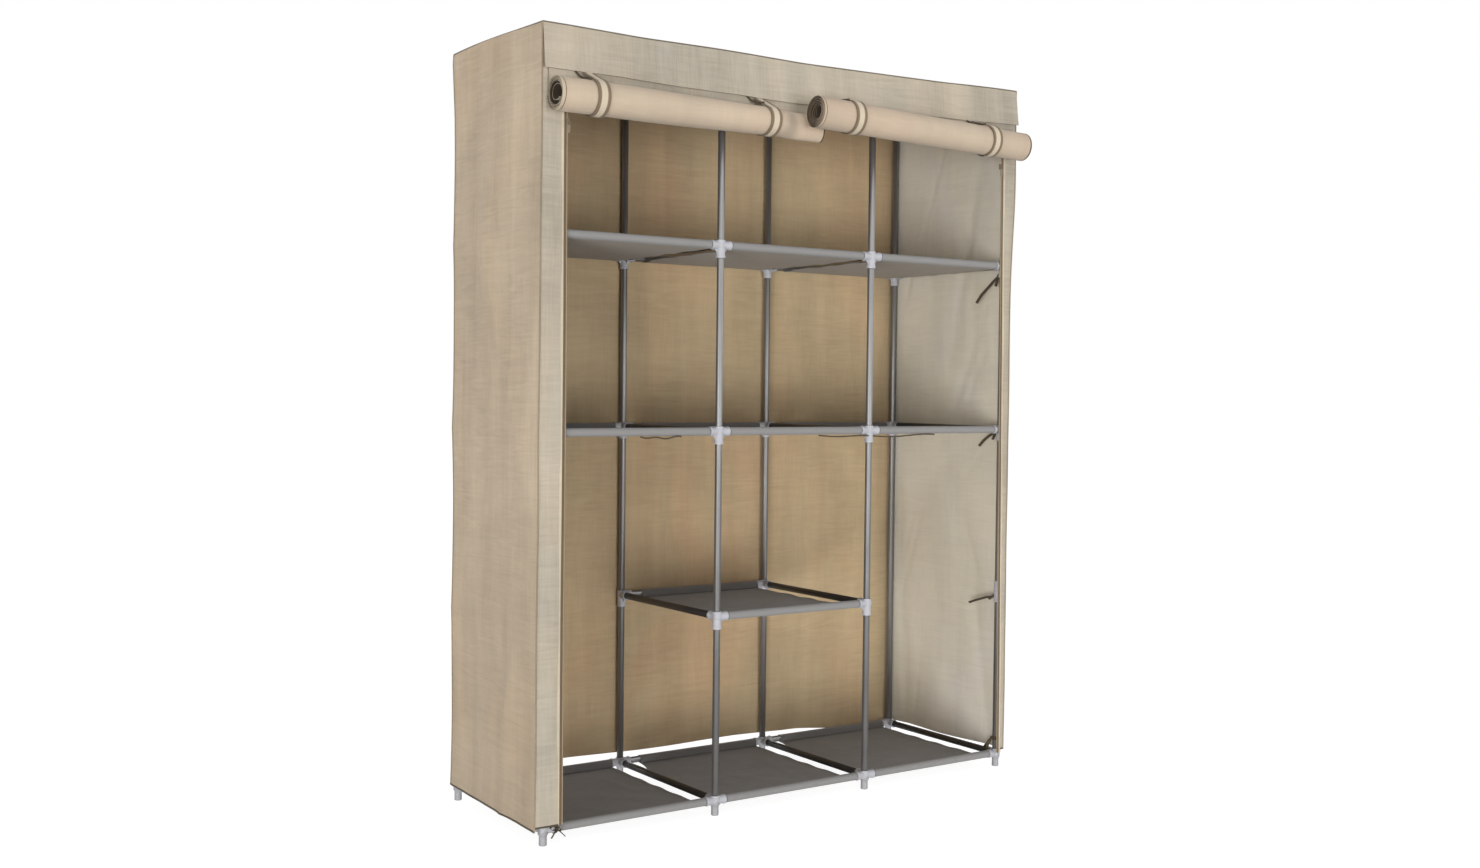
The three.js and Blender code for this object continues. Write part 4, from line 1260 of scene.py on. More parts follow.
    def top_panel(self) -> None:
        """The top: it lies on the connectors' caps and sags between them."""
        rows, share = np.linspace(0.0, 1.0, 61), np.linspace(-1.0, 1.0, 161)
        z_edge = self.top_at(share * self.half_width)
        front = np.stack([self.corner(side, True, np.array(self.top)) for side in Side])
        back = np.stack([self.corner(side, False, np.array(self.top)) for side in Side])
        blend = (share + 1.0) / 2.0
        x, y = (mix(mix(front[0, axis], front[1, axis], blend)[None],
                    mix(back[0, axis], back[1, axis], blend)[None], rows[:, None]) for axis in (0, 1))
        calm = mix(z_edge[None], self.back_top(x), ease(rows)[:, None])
        bend = arch(rows)[:, None]
        sag = 6.5 * bend * (0.35 + 0.65 * bay_wave(x))
        ripple = Folds(21, 40, 1.8, (8.0, 26.0), (50.0, 200.0), 1.5).over(x, y) * bend
        middle = calm - sag + np.maximum(ripple, -2.0)
        for side in Side:
            near = 1.0 - ease((self.half_width - side.value * x) / 70.0)
            middle = mix(middle, np.broadcast_to(self.side_top(side, rows)[:, None], x.shape), near)
        points = np.stack([x, y, middle], axis=-1)
        shape = Shape()
        shape.cloth(points, self.cloth, (0, 1, 0), uv=flat_places(x, y))
        self.panel("top", shape, [Finish.COVER, Finish.LINING])

    def strip_edge(self, side: Side, z: Array) -> Array:
        """x of a front strip's inner edge, where its zip tape is sewn."""
        if side is Side.LEFT:
            return -621.0 - 1.2 * np.sin(z / 210.0) * ease((z - 60.0) / 200.0) * 0.6
        return 659.0 - mix(8.0, 25.0, (z - 36.0) / 1679.0)

    def strip(self, side: Side) -> None:
        """A front strip: from the corner seam to the zip tape, puffed out a little between them."""
        low = {Side.LEFT: 42.0, Side.RIGHT: 46.0}[side]
        rows, t = np.linspace(0.0, 1.0, 241), np.linspace(0.0, 1.0, 25)
        head = float(self.top_at(side.value * 650.0)) - 1.5
        z = np.broadcast_to(mix(low, head, rows)[:, None], (len(rows), len(t)))
        outer = self.corner(side, True, z)
        inner = self.strip_edge(side, z)
        share = t if side is Side.LEFT else 1.0 - t
        x = mix(outer[0], inner, share[None])
        ripple = Folds(41 + side.value, 44, 1.3, (7.0, 26.0), (14.0, 60.0), 1.5).over(x, z)
        bend = arch(share)[None]
        puff = bend + np.maximum(ripple, -0.4) * bend
        y = mix(outer[1], self.strip_front, ease(share)[None]) - puff
        points = np.stack([x, y, z], axis=-1)
        shape = Shape()
        shape.cloth(points, self.thickness(z - low - self.hem, 0.9), (0, 1, 0),
                    uv=flat_places(x, z))
        shape.cord(points[0] + np.array([0.0, -1.2, 0.8]), 1.9, (0.0, 1.0, 0.0), slot=3)
        column = 22 if side is Side.LEFT else 2
        shape.stitches(points[:, column] + np.array([0.0, -0.75, 0.0]), (0.0, -1.0, 0.0), slot=2)
        self.panel(f"{side.label}_front_strip", shape,
                   [Finish.COVER, Finish.LINING, Finish.THREAD, Finish.HEM])

    def foot_at(self, x: Array) -> Array:
        """Height of the valance's foot, a smooth line through seven measured drops."""
        drops = np.array([1.0, 1.01, 1.03, 1.02, 0.95, 0.86, 0.79]) * self.valance_drop
        line = smooth_line(x, np.linspace(-659.0, 659.0, 7), drops, 20)
        return self.top - 1.0 - line + 0.9 * np.sin(np.asarray(x) / 47.0)

    def valance_at(self, x: Array | float, z: Array | float) -> Array:
        """Depth of the valance's middle surface without its flutes: it leans out towards its foot."""
        fall = self.top_at(x) + 0.2 - np.asarray(z, float)
        return self.valance_front - self.valance_lean * fall / self.valance_drop

    def valance(self) -> None:
        """The valance: it leans out towards its foot, with shallow flutes and a turned hem."""
        t, rows = np.linspace(0.0, 1.0, 261), np.linspace(0.0, 1.0, 41)
        left, right = (float(self.corner(side, True, np.array(1690.0))[0]) for side in Side)
        x = np.broadcast_to(mix(left + 0.4, right - 0.4, t)[None], (len(rows), len(t)))
        low, high = self.foot_at(x), self.top_at(x) + 0.2
        z = mix(low, high, rows[:, None])
        fall = (high - z) / self.valance_drop
        folds = Folds(61, 46, 1.5, (10.0, 34.0), (20.0, 70.0), 0.7).over(x, z)
        flutes = 1.3 * np.sin(x / 39.0 + 0.8 * np.sin(x / 120.0)) + 0.8 * np.sin(x / 17.0)
        y = (self.valance_front - self.valance_lean * fall
             - np.clip(flutes + folds, -1.6, 4.0) * np.clip(fall, 0.0, 1.0))
        points = np.stack([x, y, z], axis=-1)
        shape = Shape()
        # the rim takes the dark piping colour: along the hem's lower edge it is a painted shadow line
        shape.cloth(points, self.thickness(z - low - 9.0, 1.0), (0, 1, 3),
                    uv=flat_places(x, z))
        row = int(np.argmin(np.abs(z[:, 130] - low[0, 130] - 7.5)))
        shape.stitches(points[row] + np.array([0.0, -1.0, 0.0]), (0.0, -1.0, 0.0), slot=2)
        shape.stitches(points[38] + np.array([0.0, -0.6, 0.0]), (0.0, -1.0, 0.0), slot=2)
        piece = self.shop.make("cloth_cover_valance", shape,
                               [Finish.COVER, Finish.LINING, Finish.THREAD, Finish.PIPING],
                               "cover_cloth", replaces=["cover_valance"])

    def piping(self) -> None:
        """Piped seams: a thin cord along each corner and each edge of the top."""
        for side in Side:
            for is_front in (True, False):
                low = float(self.hem_at(side, 0.0 if is_front else 1.0))
                high = float(self.top_at(side.value * self.half_width)) if is_front else self.top
                z = np.linspace(low, high, self.cord_steps)
                x, y = self.corner(side, is_front, z)
                out = -0.7 if is_front else 0.7
                shape = Shape()
                path = np.stack([x + side.value * 0.7, y + out, z], axis=1)
                shape.cord(path, self.cord, (1.0, 0.0, 0.0))
                name = f"piping_{side.label}_{'front' if is_front else 'back'}"
                self.shop.make(name, shape, [Finish.CORNER_PIPING], "cover_cloth")
        shape = Shape()
        for is_front in (True, False):
            left, right = (float(self.corner(side, is_front, np.array(self.top))[0]) for side in Side)
            x = mix(left, right, (np.linspace(-1.0, 1.0, 241) + 1.0) / 2.0)
            z = self.top_at(x) if is_front else self.back_top(x)
            y = np.full_like(x, self.front - 1.4 if is_front else self.back + 0.4)
            shape.cord(np.stack([x, y, z + 0.5], axis=1), self.cord, (0.0, 0.0, 1.0))
        for side in Side:
            y = np.linspace(self.front - 1.0, self.back, 81)
            share = (y - y[0]) / (y[-1] - y[0])
            front, back = (self.corner(side, is_front, np.array(self.top))[0]
                           for is_front in (True, False))
            path = np.stack([mix(front, back, share), y, self.side_top(side, share) + 0.5], axis=1)
            shape.cord(path, self.cord, (0.0, 0.0, 1.0))
        self.shop.make("piping_top", shape, [Finish.PIPING], "cover_cloth")

    def build(self) -> None:
        """Builds the whole cover."""
        for side in Side:
            self.side(side)
            self.strip(side)
        self.back_panel()
        self.top_panel()
        self.valance()
        self.piping()


@dataclass
class Door:
    """A rolled door: a curtain that hangs from behind the valance and a spiral roll of the rest.

    The tail is the curtain's plane, from its sewn top to its bend and on to the roll.
    """

    shop: Workshop
    side: Side
    cover: Cover
    start: float
    end: float
    tail_start: float
    turns: float
    pitch: float
    straps: tuple[float, float]
    radius: float = 36.0
    roll_height: float = 1556.0
    tail: float = -231.9
    tail_top: float = 1640.0
    tail_bend: float = 1606.0
    cloth: float = 0.8
    slump: float = 1.0
    recess: float = 2.5
    curl: float = 9.0
    strap_top: float = 1628.0
    strap_width: float = 29.0
    strap_cloth: float = 1.1
    strap_gap: float = 2.1
    strap_behind: float = 2.8
    strap_kept: float = 0.12

    def along(self, x: Array) -> Array:
        """Share of the roll's length at places x."""
        return (x - self.start) / (self.end - self.start)

    def centre(self, x: Array) -> tuple[Array, Array, Array]:
        """Depth and height of the roll's middle at places x, and how much of its depth is left there."""
        x = np.asarray(x, float)
        if self.side is Side.LEFT:
            share = mix(1.0, 0.54, ease((x + 112.0) / 72.0))
            height = self.roll_height - 1.2 * np.sin(math.pi * (x + 657.0) / 700.0)
            return self.tail - self.radius * share, height, share
        return (self.tail - self.radius - mix(48.0, 0.0, self.along(x)),
                self.roll_height + mix(25.0, 19.0, self.along(x)), np.ones_like(x))

    def height_share(self, x: Array) -> Array:
        """How tall the roll's section is at places x: the left roll thins towards the middle."""
        if self.side is Side.LEFT:
            return mix(1.0, 0.86, ease((np.asarray(x, float) + 520.0) / 440.0))
        return np.ones_like(x)

    def leave(self, x: Array) -> Array:
        """Angle at which the tail, straight from its bend, touches the roll at places x."""
        y, z, share = self.centre(x)
        dy, dz = (self.tail - y) / share, self.tail_bend - z
        return np.arctan2(dz, dy) - np.arccos(np.clip(self.radius / np.hypot(dy, dz), -1.0, 1.0))

    def roll(self) -> None:
        """The roll: radius less pitch * turn, going down behind, under and up in front.

        Turns bunch in pairs, as turn + 0.28 sin(pi turn), the inner ones sag out of round by
        slump * (turn / turns)^2, and each turn lies further in at the left end than the one round it.
        """
        x = np.linspace(self.start, self.end, 91)[None]
        y0, z0, share = (part[0] for part in self.centre(x))
        turn = np.linspace(0.0, self.turns, int(self.turns * 34))[:, None]
        depth = turn / self.turns
        angle = self.leave(x[0])[None] - turn * TURN
        phases = np.random.default_rng(5 + self.side.value).uniform(0.0, TURN, 6)
        slack = (0.28 * np.sin(2.0 * angle + x / 130.0 + phases[0])
                 + 0.22 * np.sin(3.0 * angle - x / 90.0 + phases[1])
                 + 0.18 * np.sin(7.3 * turn + x / 60.0 + phases[2])) * ease(turn / 0.4)
        droop = 0.25 * np.sin(x / 75.0 + phases[3]) * ease(turn / 0.3)
        slump = self.slump * depth ** 2 * np.sin(2.0 * angle + 0.5 * turn + phases[4])
        bunched = turn + 0.28 * np.sin(math.pi * turn)
        core = self.curl * ease((turn - self.turns + 1.4) / 1.3)
        radius = self.radius - self.pitch * bunched + slack * self.pitch * 0.6 + droop + slump - core
        creep = 0.9 * np.sin(2.1 * turn + phases[4]) + 0.7 * np.sin(5.7 * turn + phases[5])
        inward = (self.recess * depth ** 1.3 + creep * ease(turn)) * (1.0 - 1.25 * self.along(x))
        points = np.stack([x + inward, y0[None] + share[None] * radius * np.cos(angle),
                           z0[None] + self.height_share(x) * radius * np.sin(angle)], axis=-1)
        length = travelled(points[:, points.shape[1] // 2])
        shape = Shape()
        shape.cloth(points, self.cloth, (0, 1, 2), uv=flat_places(x - self.start, length[:, None]))
        surface, rim = {Side.LEFT: (Finish.ROLL_LEFT, Finish.ROLL_EDGE),
                        Side.RIGHT: (Finish.ROLL_RIGHT, Finish.ROLL_DARK_EDGE)}[self.side]
        label = self.side.label
        piece = self.shop.make(f"cloth_door_{label}_roll", shape, [surface, Finish.ROLL_INSIDE, rim],
                               "door_cloth", body=f"{label}_door", replaces=[f"door_{label}"])

    def curtain(self) -> None:
        """The tail: from its sewn top down to its bend, then straight to where it meets the roll."""
        x = np.linspace(max(self.start, self.tail_start), self.end, 91)
        y0, z0, share = self.centre(x)
        leave = self.leave(x)
        meet = (y0 + share * self.radius * np.cos(leave),
                z0 + self.height_share(x) * self.radius * np.sin(leave))
        rows = np.linspace(0.0, 1.0, 81)[:, None]
        bend = (self.tail_top - self.tail_bend) / (self.tail_top - np.asarray(meet[1]))[None]
        upper, lower = np.clip(rows / bend, 0.0, 1.0), np.clip((rows - bend) / (1.0 - bend), 0.0, 1.0)
        y = mix(self.tail, np.broadcast_to(meet[0][None], lower.shape), lower)
        z = (self.tail_top - (self.tail_top - self.tail_bend) * upper
             - (self.tail_bend - meet[1][None]) * lower)
        ripple = (0.5 * np.sin(x / 33.0)[None] * arch(rows)
                  + 0.4 * np.sin(x / 87.0 + 1.0)[None] * arch(rows))
        points = np.stack(np.broadcast_arrays(x[None], y - np.abs(ripple), z), axis=-1)
        shape = Shape()
        shape.cloth(points, self.cloth, (0, 1, 2))
        piece = self.shop.make(f"cloth_door_{self.side.label}_curtain", shape,
                               [Finish.DOOR, Finish.COVER, Finish.BINDING], "door_cloth", body=None)
        low = float(points[-1, :, 2].max())
        self.shop.row(0.0, self.tail, self.tail_top)
        self.shop.row(0.0, self.tail, low)
        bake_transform(piece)

    def strap(self, number: int, place: float) -> None:
        """A strap: from behind the valance over the roll's front, under it and up behind the tail.

        Args:
            number: of the strap, from the left.
            place: x of its middle.
        """
        y0, z0, share = (float(part) for part in self.centre(np.array(place)))
        radius = self.radius + self.strap_gap
        foot = float(self.cover.foot_at(place))
        top = self.strap_top + (z0 - self.roll_height) / 2.0
        arm_y, arm_z = float(self.cover.valance_at(place, foot)) + self.strap_behind, foot - 1.0
        top_y = float(self.cover.valance_at(place, top)) + self.strap_behind
        dy, dz = (arm_y - y0) / share, arm_z - z0
        start = math.atan2(dz, dy) + math.acos(min(radius / math.hypot(dy, dz), 1.0))
        back_y = self.tail + self.strap_gap
        angle = np.linspace(start, math.radians(352.0), 44)
        squeeze = float(self.height_share(np.array(place)))
        arc = np.stack([y0 + share * radius * np.cos(angle), z0 + squeeze * radius * np.sin(angle)],
                       axis=1)
        line = [(top_y, top), ((top_y + arm_y) / 2.0, (top + arm_z) / 2.0), (arm_y, arm_z), *arc.tolist(),
                (back_y, max(z0 + 22.0, 1590.0)), (back_y, top)]
        path = resampled([(place, y, z) for y, z in line], 150, 0.04)
        columns = np.linspace(-0.5, 0.5, 13)
        points = path[:, None] + np.outer(columns * self.strap_width, (1.0, 0.0, 0.0))
        length = travelled(path)
        uv = flat_places((columns[None] + 0.5) * self.strap_width, length[:, None])
        thick = self.strap_cloth * (1.0 + 0.55 * ease((np.abs(columns) - 0.27) / 0.03))
        shape = Shape()
        shape.cloth(points, thick[None], (0, 0, 1), uv=uv)
        for edge in (-7.9, 7.9):
            seam = path[4:96] + np.array([edge, -0.75, 0.0])
            shape.stitches(seam, (0.0, -1.0, 0.3), slot=2, width=0.7)
        piece = self.shop.make(f"strap_band_{self.side.label}_{number}", shape,
                               [Finish.STRAP, Finish.BINDING, Finish.THREAD], "strap_cloth",
                               replaces=[f"strap_{self.side.label}_{number}"])
        self.flatten(piece, place, top)
        over, reach = math.radians(100.0), radius + 1.3
        tape = [(place - 36.0, arm_y + 0.5, foot + 5.0), (place - 30.0, arm_y - 2.4, foot - 3.0),
                (place - 20.0, arm_y - 8.0, z0 + radius + 4.5),
                (place - 13.0, y0 + reach * math.cos(over), z0 + reach * math.sin(over))]
        shape = Shape()
        shape.ribbon(resampled(tape, 26, 0.2), 4.2, 0.8, (0.2, -0.6, 0.8))
        piece = self.shop.make(f"strap_tape_{self.side.label}_{number}", shape, [Finish.RIBBON],
                               "strap_cloth")
        self.flatten(piece, place, top)

    def flatten(self, piece: bpy.types.Object, place: float, top: float) -> None:
        """Gives a strap's piece its own copy of its mesh."""
        self.shop.row(place, self.tail - 2.5, top)
        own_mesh(piece)

    def build(self) -> None:
        """Builds the door and what holds it up."""
        self.roll()
        self.curtain()
        for number, place in enumerate(self.straps, start=1):
            self.strap(number, place)


@dataclass
class Zip:
    """A zip: striped tape, its coil, and the slider with its pull tab."""

    shop: Workshop
    side: Side
    cover: Cover
    tape_front: float = -226.1
    tooth: float = 2.4
    plane: float = -225.85

    def tape(self) -> None:
        """Tape 14 mm wide, 2 mm of it on the front strip, with the coil near its free edge."""
        low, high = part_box(f"zip_tape_{self.side.label}")
        z = np.linspace(low.z / MM, high.z / MM, 301)
        edge = self.cover.strip_edge(self.side, z)
        inward = -self.side.value
        t = np.linspace(-2.0, 12.0, 15)
        t = t if self.side is Side.LEFT else t[::-1]
        x = edge[:, None] + inward * t[None]
        y = self.tape_front + 0.5 * ease(t / 4.0)[None] + 0.25 * np.sin(z / 63.0)[:, None]
        points = np.stack(np.broadcast_arrays(x, y, z[:, None]), axis=-1)
        shape = Shape()
        shape.cloth(points, 0.7, uv=flat_places(t[None], z[:, None]))
        piece = self.shop.make(f"tape_cloth_{self.side.label}", shape, [Finish.TAPE], "zip_tape",
                               replaces=[f"zip_tape_{self.side.label}"])
        count = int((z[-1] - z[0]) / self.tooth)
        z = np.linspace(z[0] + 2.0, z[-1] - 2.0, count * 4)
        size = 0.85 + 0.55 * np.abs(np.sin(math.pi * (z - z[0]) / self.tooth))
        path = np.stack([self.cover.strip_edge(self.side, z) + inward * 11.2,
                         np.full_like(z, self.tape_front - 0.25), z], axis=1)
        coil = Shape()
        coil.sweep(path, circle(8, 1.1, 0.8), (1.0, 0.0, 0.0), scale=size)
        self.shop.make(f"zip_coil_{self.side.label}", coil, [Finish.COIL], "zip_tape")

    def slider(self) -> None:
        """Slider: two rounded plates, their post and a bridge in which the tab hangs."""
        low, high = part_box(f"zip_slider_{self.side.label}")
        centre = (np.array(low) + np.array(high)) / 2.0 - self.shop.shift
        x, _, z = (float(part) / MM for part in centre)
        half_x = (high.x - low.x) / MM / 2.0
        half_z = (high.z - low.z) / MM / 2.0
        front, plane = low.y / MM - float(self.shop.shift[1]) / MM, self.plane
        shape = Shape()
        for depth in (plane - 1.42, plane + 1.42):
            shape.pebble((x, depth, z), (half_x - 0.2, 0.58, half_z - 0.3), 0.42)
            shape.pebble((x, depth, z + half_z * 0.35), (half_x, 0.52, half_z * 0.5), 0.6)
        shape.pebble((x, plane, z + half_z - 3.2), (1.2, 1.5, 2.8), 0.8)
        for sign in (-1.0, 1.0):
            shape.pebble((x + sign * (half_x - 0.6), plane + 0.9, z - 1.6), (0.55, 1.3, half_z - 3.2), 0.6)
        bridge = [(x, plane - 1.6, z + 3.9), (x, front + 0.75, z + 3.2), (x, front + 0.55, z),
                  (x, front + 0.75, z - 3.2), (x, plane - 1.6, z - 3.9)]
        shape.sweep(resampled(bridge, 30, 0.1), circle(14, 1.0, 0.45), (1.0, 0.0, 0.0))
        self.shop.make(f"slider_{self.side.label}", shape, [Finish.ENAMEL], "zip_metal",
                       body=f"{self.side.label}_zip_slider", replaces=[f"zip_slider_{self.side.label}"])

    def tab(self) -> None:
        """Pull tab: a wire-like loop round the slider's bridge, and a grip with ribs."""
        low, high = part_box(f"zip_tab_{self.side.label}")
        low, high = np.array(low) - self.shop.shift, np.array(high) - self.shop.shift
        x, y = (low[0] + high[0]) / 2.0 / MM, (low[1] + high[1]) / 2.0 / MM
        top, foot, half = high[2] / MM, low[2] / MM, (high[0] - low[0]) / 2.0 / MM
        shape = Shape()
        loop = [(x - half + 0.8, y, top - 7.5), (x - half + 0.8, y, top - 1.8),
                (x - half + 1.8, y, top - 0.7), (x + half - 1.8, y, top - 0.7),
                (x + half - 0.8, y, top - 1.8), (x + half - 0.8, y, top - 7.5)]
        shape.sweep(resampled(loop, 40, 0.08), circle(12, 0.62, 0.62), (0.0, 1.0, 0.0))
        shape.pebble((x, y, (top - 6.6 + foot) / 2.0), (half - 0.05, 0.58, (top - 6.6 - foot) / 2.0), 0.3)
        for step in range(4):
            shape.pebble((x, y - 0.5, foot + 3.2 + 2.6 * step), (half - 1.4, 0.22, 0.5), 0.6)
        self.shop.make(f"tab_{self.side.label}", shape, [Finish.ENAMEL], "zip_metal",
                       body=f"{self.side.label}_zip_tab", replaces=[f"zip_tab_{self.side.label}"])

    def build(self) -> None:
        """Builds the zip."""
        self.tape()
        self.slider()
        self.tab()


@dataclass
class Ties:
    """Brown ribbon ties that hold the cover to the front posts."""

    shop: Workshop
    width: float = 7.0
    cloth: float = 0.6
    ring: float = 8.7
    rail_ring: float = 11.6

    def tie(self, name: str, side: Side, z: float, tails: Sequence[Sequence[Sequence[float]]]) -> None:
        """A ribbon round a post, its knot and its hanging tails.

        Args:
            name: the piece's name.
            side: which front post.
            z: height of the knot.
            tails: corners of each tail's line, from the knot, as distances across, in and down.
        """
        post = side.value * FRAME.posts[-1]
        y0 = FRAME.front
        shape = Shape()
        angle = np.linspace(0.0, TURN, 49)
        for lift, lean in ((0.0, 1.2), (0.6, -1.0)):
            ring = np.stack([post + self.ring * np.cos(angle), y0 + self.ring * np.sin(angle),
                             z + lift + lean * np.cos(angle)], axis=1)
            shape.ribbon(ring, self.width, self.cloth, (0.0, 0.0, 1.0))
        knot = np.array([post - side.value * 6.6, y0 + 8.0, z])
        shape.pebble(knot, (3.6, 3.2, 4.2), 0.8)
        for tail in tails:
            line = [knot] + [knot + np.array([-side.value * out, back, -down]) for out, back, down in tail]
            path = resampled(line, 40, 0.25)
            shape.ribbon(path, self.width, self.cloth, (0.6, -0.4, -0.45),
                         taper=np.concatenate([np.linspace(0.55, 1.0, 10), np.ones(30)]))
        self.shop.make(name, shape, [Finish.RIBBON], "cover_cloth")

    def bow(self) -> None:
        """The bow at the foot of the left front strip: two loops and two tails round the rail."""
        rail = FRAME.level("bottom")
        centre = np.array([-622.0, FRAME.front - 12.2, rail])
        shape = Shape()
        angle = np.linspace(0.0, TURN, 49)
        ring = np.stack([np.full_like(angle, centre[0]), FRAME.front + self.rail_ring * np.cos(angle),
                         rail + self.rail_ring * np.sin(angle)], axis=1)
        shape.ribbon(ring, self.width, self.cloth, (1.0, 0.0, 0.0))
        shape.pebble(centre, (3.8, 2.6, 3.4), 0.8)
        narrow_width = self.width * 0.7
        for reach, drop in ((-19.0, 4.0), (9.0, -1.0)):
            steps = ((reach * 0.5, -3.5, drop + 5.0), (reach, -3.0, drop), (reach * 0.55, -4.5, drop - 5.0))
            loop = [centre, *(centre + np.array(step) for step in steps), centre]
            shape.ribbon(resampled(loop, 50, 0.2), narrow_width, self.cloth, (0.0, 1.0, 0.15))
        for reach in (-15.0, 18.0):
            tail = [centre, centre + np.array([reach * 0.5, -3.6, -8.0]),
                    centre + np.array([reach, -5.0, -17.0])]
            shape.ribbon(resampled(tail, 30, 0.2), narrow_width, self.cloth, (0.3, 1.0, 0.4))
        self.shop.make("tie_bow_left", shape, [Finish.RIBBON], "cover_cloth")

    def build(self) -> None:
        """Ties on both front posts; only the right ones and the bow show in front view."""
        tails = {
            1255.0: [[(2.0, 26.0, 22.0), (3.0, 60.0, 48.0), (5.0, 74.0, 67.0)],
                     [(2.0, 3.0, 14.0), (3.0, 7.0, 27.0)]],
            857.0: [[(1.0, 20.0, 8.0), (2.0, 42.0, 22.0), (4.0, 58.0, 38.0)],
                    [(3.0, 4.0, 10.0), (4.0, 8.0, 20.0)]],
            437.0: [[(1.0, 28.0, 7.0), (2.0, 60.0, 17.0), (4.0, 87.0, 27.0)],
                    [(2.0, 8.0, 5.0), (3.0, 14.0, 10.0)]],
            72.0: [[(3.0, 10.0, 14.0), (6.0, 20.0, 28.0)], [(7.0, 6.0, 18.0), (12.0, 4.0, 34.0)]],
        }
        for number, (z, lines) in enumerate(tails.items(), start=1):
            self.tie(f"tie_right_{number}", Side.RIGHT, z, lines)
            mirrored = [[(out * 1.3 + 1.0, back * 0.8, down * 1.1) for out, back, down in line]
                        for line in lines]
            if z > 100.0:
                self.tie(f"tie_left_{number}", Side.LEFT, z, mirrored)
        self.bow()
        # two thin dark strips just under the middle shelf's front sleeve
        self.loose("tie_loose_left", -424.0, -319.0, 853.6)
        self.loose("tie_loose_right", 59.0, 419.0, 853.0)

    def loose(self, name: str, start: float, end: float, z: float) -> None:
        """A thin dark ribbon that hangs along the foot of the middle shelf's front sleeve.

        Args:
            name: the piece's name.
            start: x of its left end.
            end: x of its right end.
            z: height of both ends.
        """
        share = np.linspace(0.0, 1.0, 90)
        path = np.stack([mix(start, end, share), np.full_like(share, FRAME.front - 7.5),
                         z - 3.2 * arch(share) - 1.6 * np.sin(2.0 * TURN * share)], axis=1)
        shape = Shape()
        shape.ribbon(path, 3.4, self.cloth, (0.0, 0.35, 1.0))
        self.shop.make(name, shape, [Finish.RIBBON], "cover_cloth")


# Studio


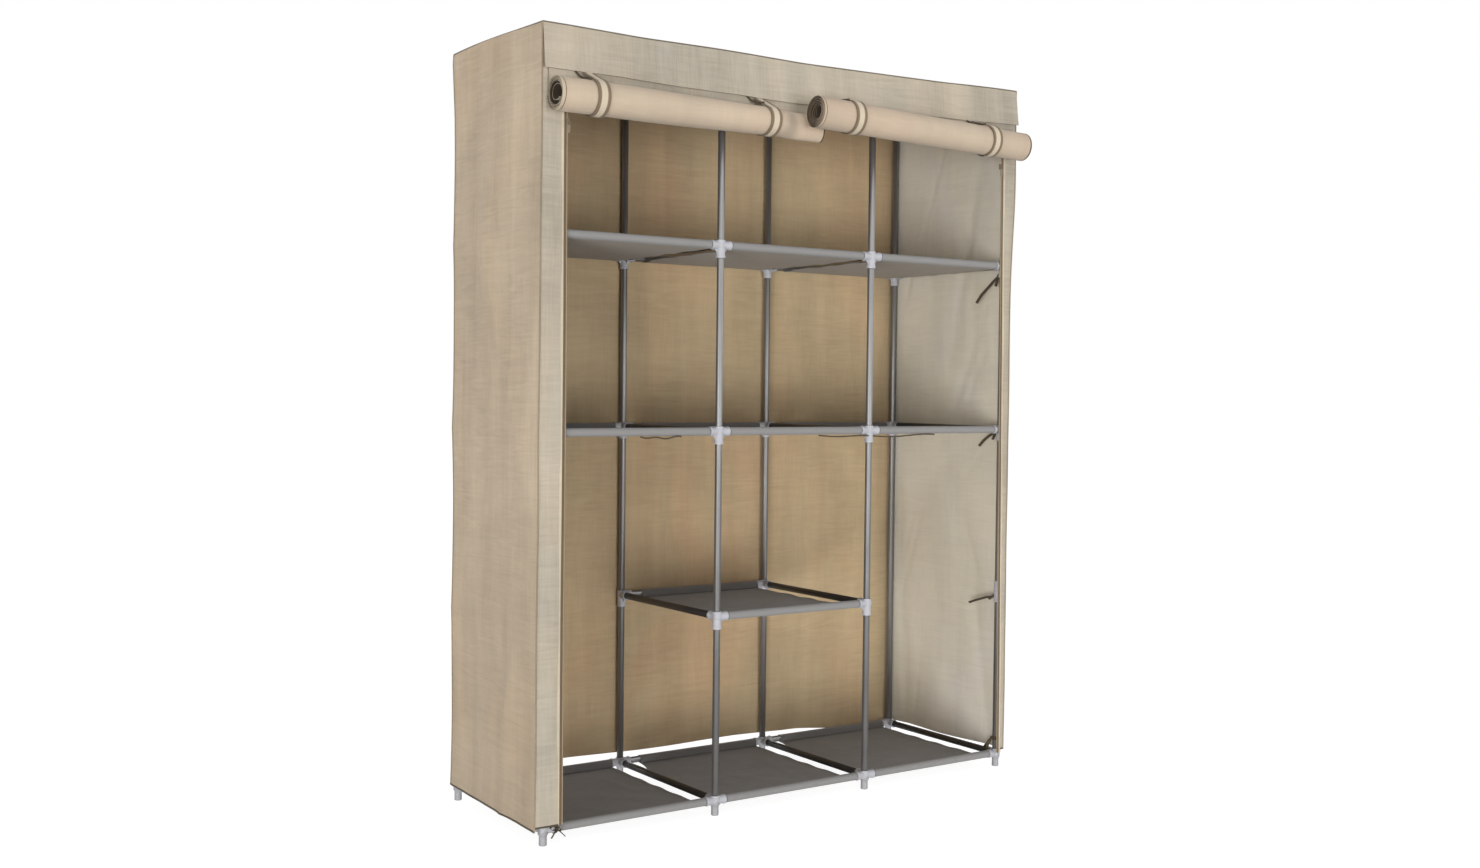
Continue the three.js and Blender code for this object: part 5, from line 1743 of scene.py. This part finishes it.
@dataclass
class Studio:
    """Pale floor, even light and the camera at the photograph's angle."""

    shop: Workshop
    eye: tuple[float, float, float] = (-2130.0, -3076.0, 956.0)
    yaw: float = math.radians(-34.55)
    pitch: float = math.radians(1.62)
    roll: float = math.radians(0.62)
    lens: float = 37.5
    even_light: float = 0.27

    def camera(self) -> None:
        """The camera: right is level and turned by yaw, up is square to it and the view, both rolled."""
        right = np.array([math.cos(self.yaw), math.sin(self.yaw), 0.0])
        ahead = math.cos(self.pitch)
        view = np.array([-math.sin(self.yaw) * ahead, math.cos(self.yaw) * ahead, -math.sin(self.pitch)])
        up = np.cross(right, view)
        rolled_right = right * math.cos(self.roll) + up * math.sin(self.roll)
        rolled_up = up * math.cos(self.roll) - right * math.sin(self.roll)
        data = bpy.data.cameras.new("camera")
        data.sensor_width, data.lens = 36.0, self.lens
        camera = bpy.data.objects.new("camera", data)
        matrix = Matrix.Identity(4)
        for column, axis in enumerate((rolled_right, rolled_up, -view)):
            for line in range(3):
                matrix[line][column] = float(axis[line])
        matrix.translation = Vector(self.shop.row(*self.eye))
        camera.matrix_world = matrix
        bpy.context.scene.collection.objects.link(camera)
        bpy.context.scene.camera = camera

    def sun(self, name: str, towards: Sequence[float], strength: float, spread: float) -> None:
        """A soft white lamp.

        Args:
            name: the lamp's name.
            towards: the direction in which it shines.
            strength: of its light.
            spread: angle of its disc, in degrees.
        """
        data = bpy.data.lights.new(name, "SUN")
        data.energy, data.angle = strength, math.radians(spread)
        lamp = bpy.data.objects.new(name, data)
        lamp.rotation_euler = Vector(towards).to_track_quat("-Z", "Y").to_euler()
        bpy.context.scene.collection.objects.link(lamp)

    def world(self) -> None:
        """Even light, and full white for the camera, reflections and rays that pass through."""
        desk = Desk(bpy.data.worlds.new("studio"))
        bpy.context.scene.world = desk.owner
        light = desk.tree.nodes["Background"]
        desk.feed(light.inputs["Color"], WHITE)
        desk.feed(light.inputs["Strength"], self.even_light)
        white = desk.add("ShaderNodeBackground", None, {"Color": WHITE, "Strength": 1.0})
        camera, glossy, through = (desk.add("ShaderNodeLightPath", output=f"Is {kind} Ray")
                                   for kind in ("Camera", "Glossy", "Transmission"))
        seen = ((camera + glossy).held() + through).held()
        desk.end("World Output", desk.add("ShaderNodeMixShader", None,
                                          {0: seen, 1: Signal(desk, light.outputs[0]), 2: white}))

    def floor(self) -> None:
        """A wide floor, nearly white, that keeps a soft shadow under the wardrobe."""
        mesh = bpy.data.meshes.new("floor")
        reach = 30.0
        mesh.from_pydata([(-reach, -reach, 0.0), (reach, -reach, 0.0), (reach, reach, 0.0),
                          (-reach, reach, 0.0)], [], [(0, 1, 2, 3)])
        desk = Desk(bpy.data.materials.new("studio_floor"))
        paint = desk.add("ShaderNodeBsdfDiffuse", None, {"Color": (0.86, 0.86, 0.86)})
        glow = desk.add("ShaderNodeEmission", None, {"Strength": 1.3})
        share = desk.add("ShaderNodeLightPath", output="Is Camera Ray") * 0.72
        desk.end("Material Output", desk.add("ShaderNodeMixShader", None, {0: share, 1: paint, 2: glow}))
        mesh.materials.append(desk.owner)
        floor = bpy.data.objects.new("floor", mesh)
        floor.visible_shadow = False
        bpy.context.scene.collection.objects.link(floor)

    def build(self) -> None:
        """Sets up the studio."""
        self.camera()
        self.world()
        for lamp in (("front", (0.0, 0.99, 0.17), 1.32, 24.0),
                     ("key", (0.80, 0.59, 0.17), 1.48, 24.0),
                     ("above", (0.15, 0.75, -0.65), 0.34, 40.0),
                     ("left", (0.97, 0.10, -0.25), 0.66, 60.0),
                     ("right", (-0.85, 0.40, -0.30), 0.45, 60.0),
                     ("back", (-0.25, -0.92, -0.30), 1.20, 60.0)):
            self.sun(*lamp)
        self.floor()
        bpy.context.scene.view_settings.view_transform = "Standard"


def main() -> None:
    """Builds every piece in order."""
    logging.basicConfig(level=logging.INFO, format="%(message)s")
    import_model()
    shop = Workshop()
    Studio(shop).build()
    TubeFrame(shop).build()
    Shelves(shop).build()
    cover = Cover(shop)
    cover.build()
    Door(shop, Side.LEFT, cover, start=-660.5, end=28.5, tail_start=-657.0, turns=8.4, pitch=1.38,
         straps=(-566.0, -132.0)).build()
    Door(shop, Side.RIGHT, cover, start=-34.0, end=655.0, tail_start=29.3, turns=10.0, pitch=2.45,
         straps=(76.0, 528.0), slump=3.0, recess=8.0, curl=2.0).build()
    for side in Side:
        Zip(shop, side, cover).build()
    Ties(shop).build()


if __name__ == "__main__":
    main()
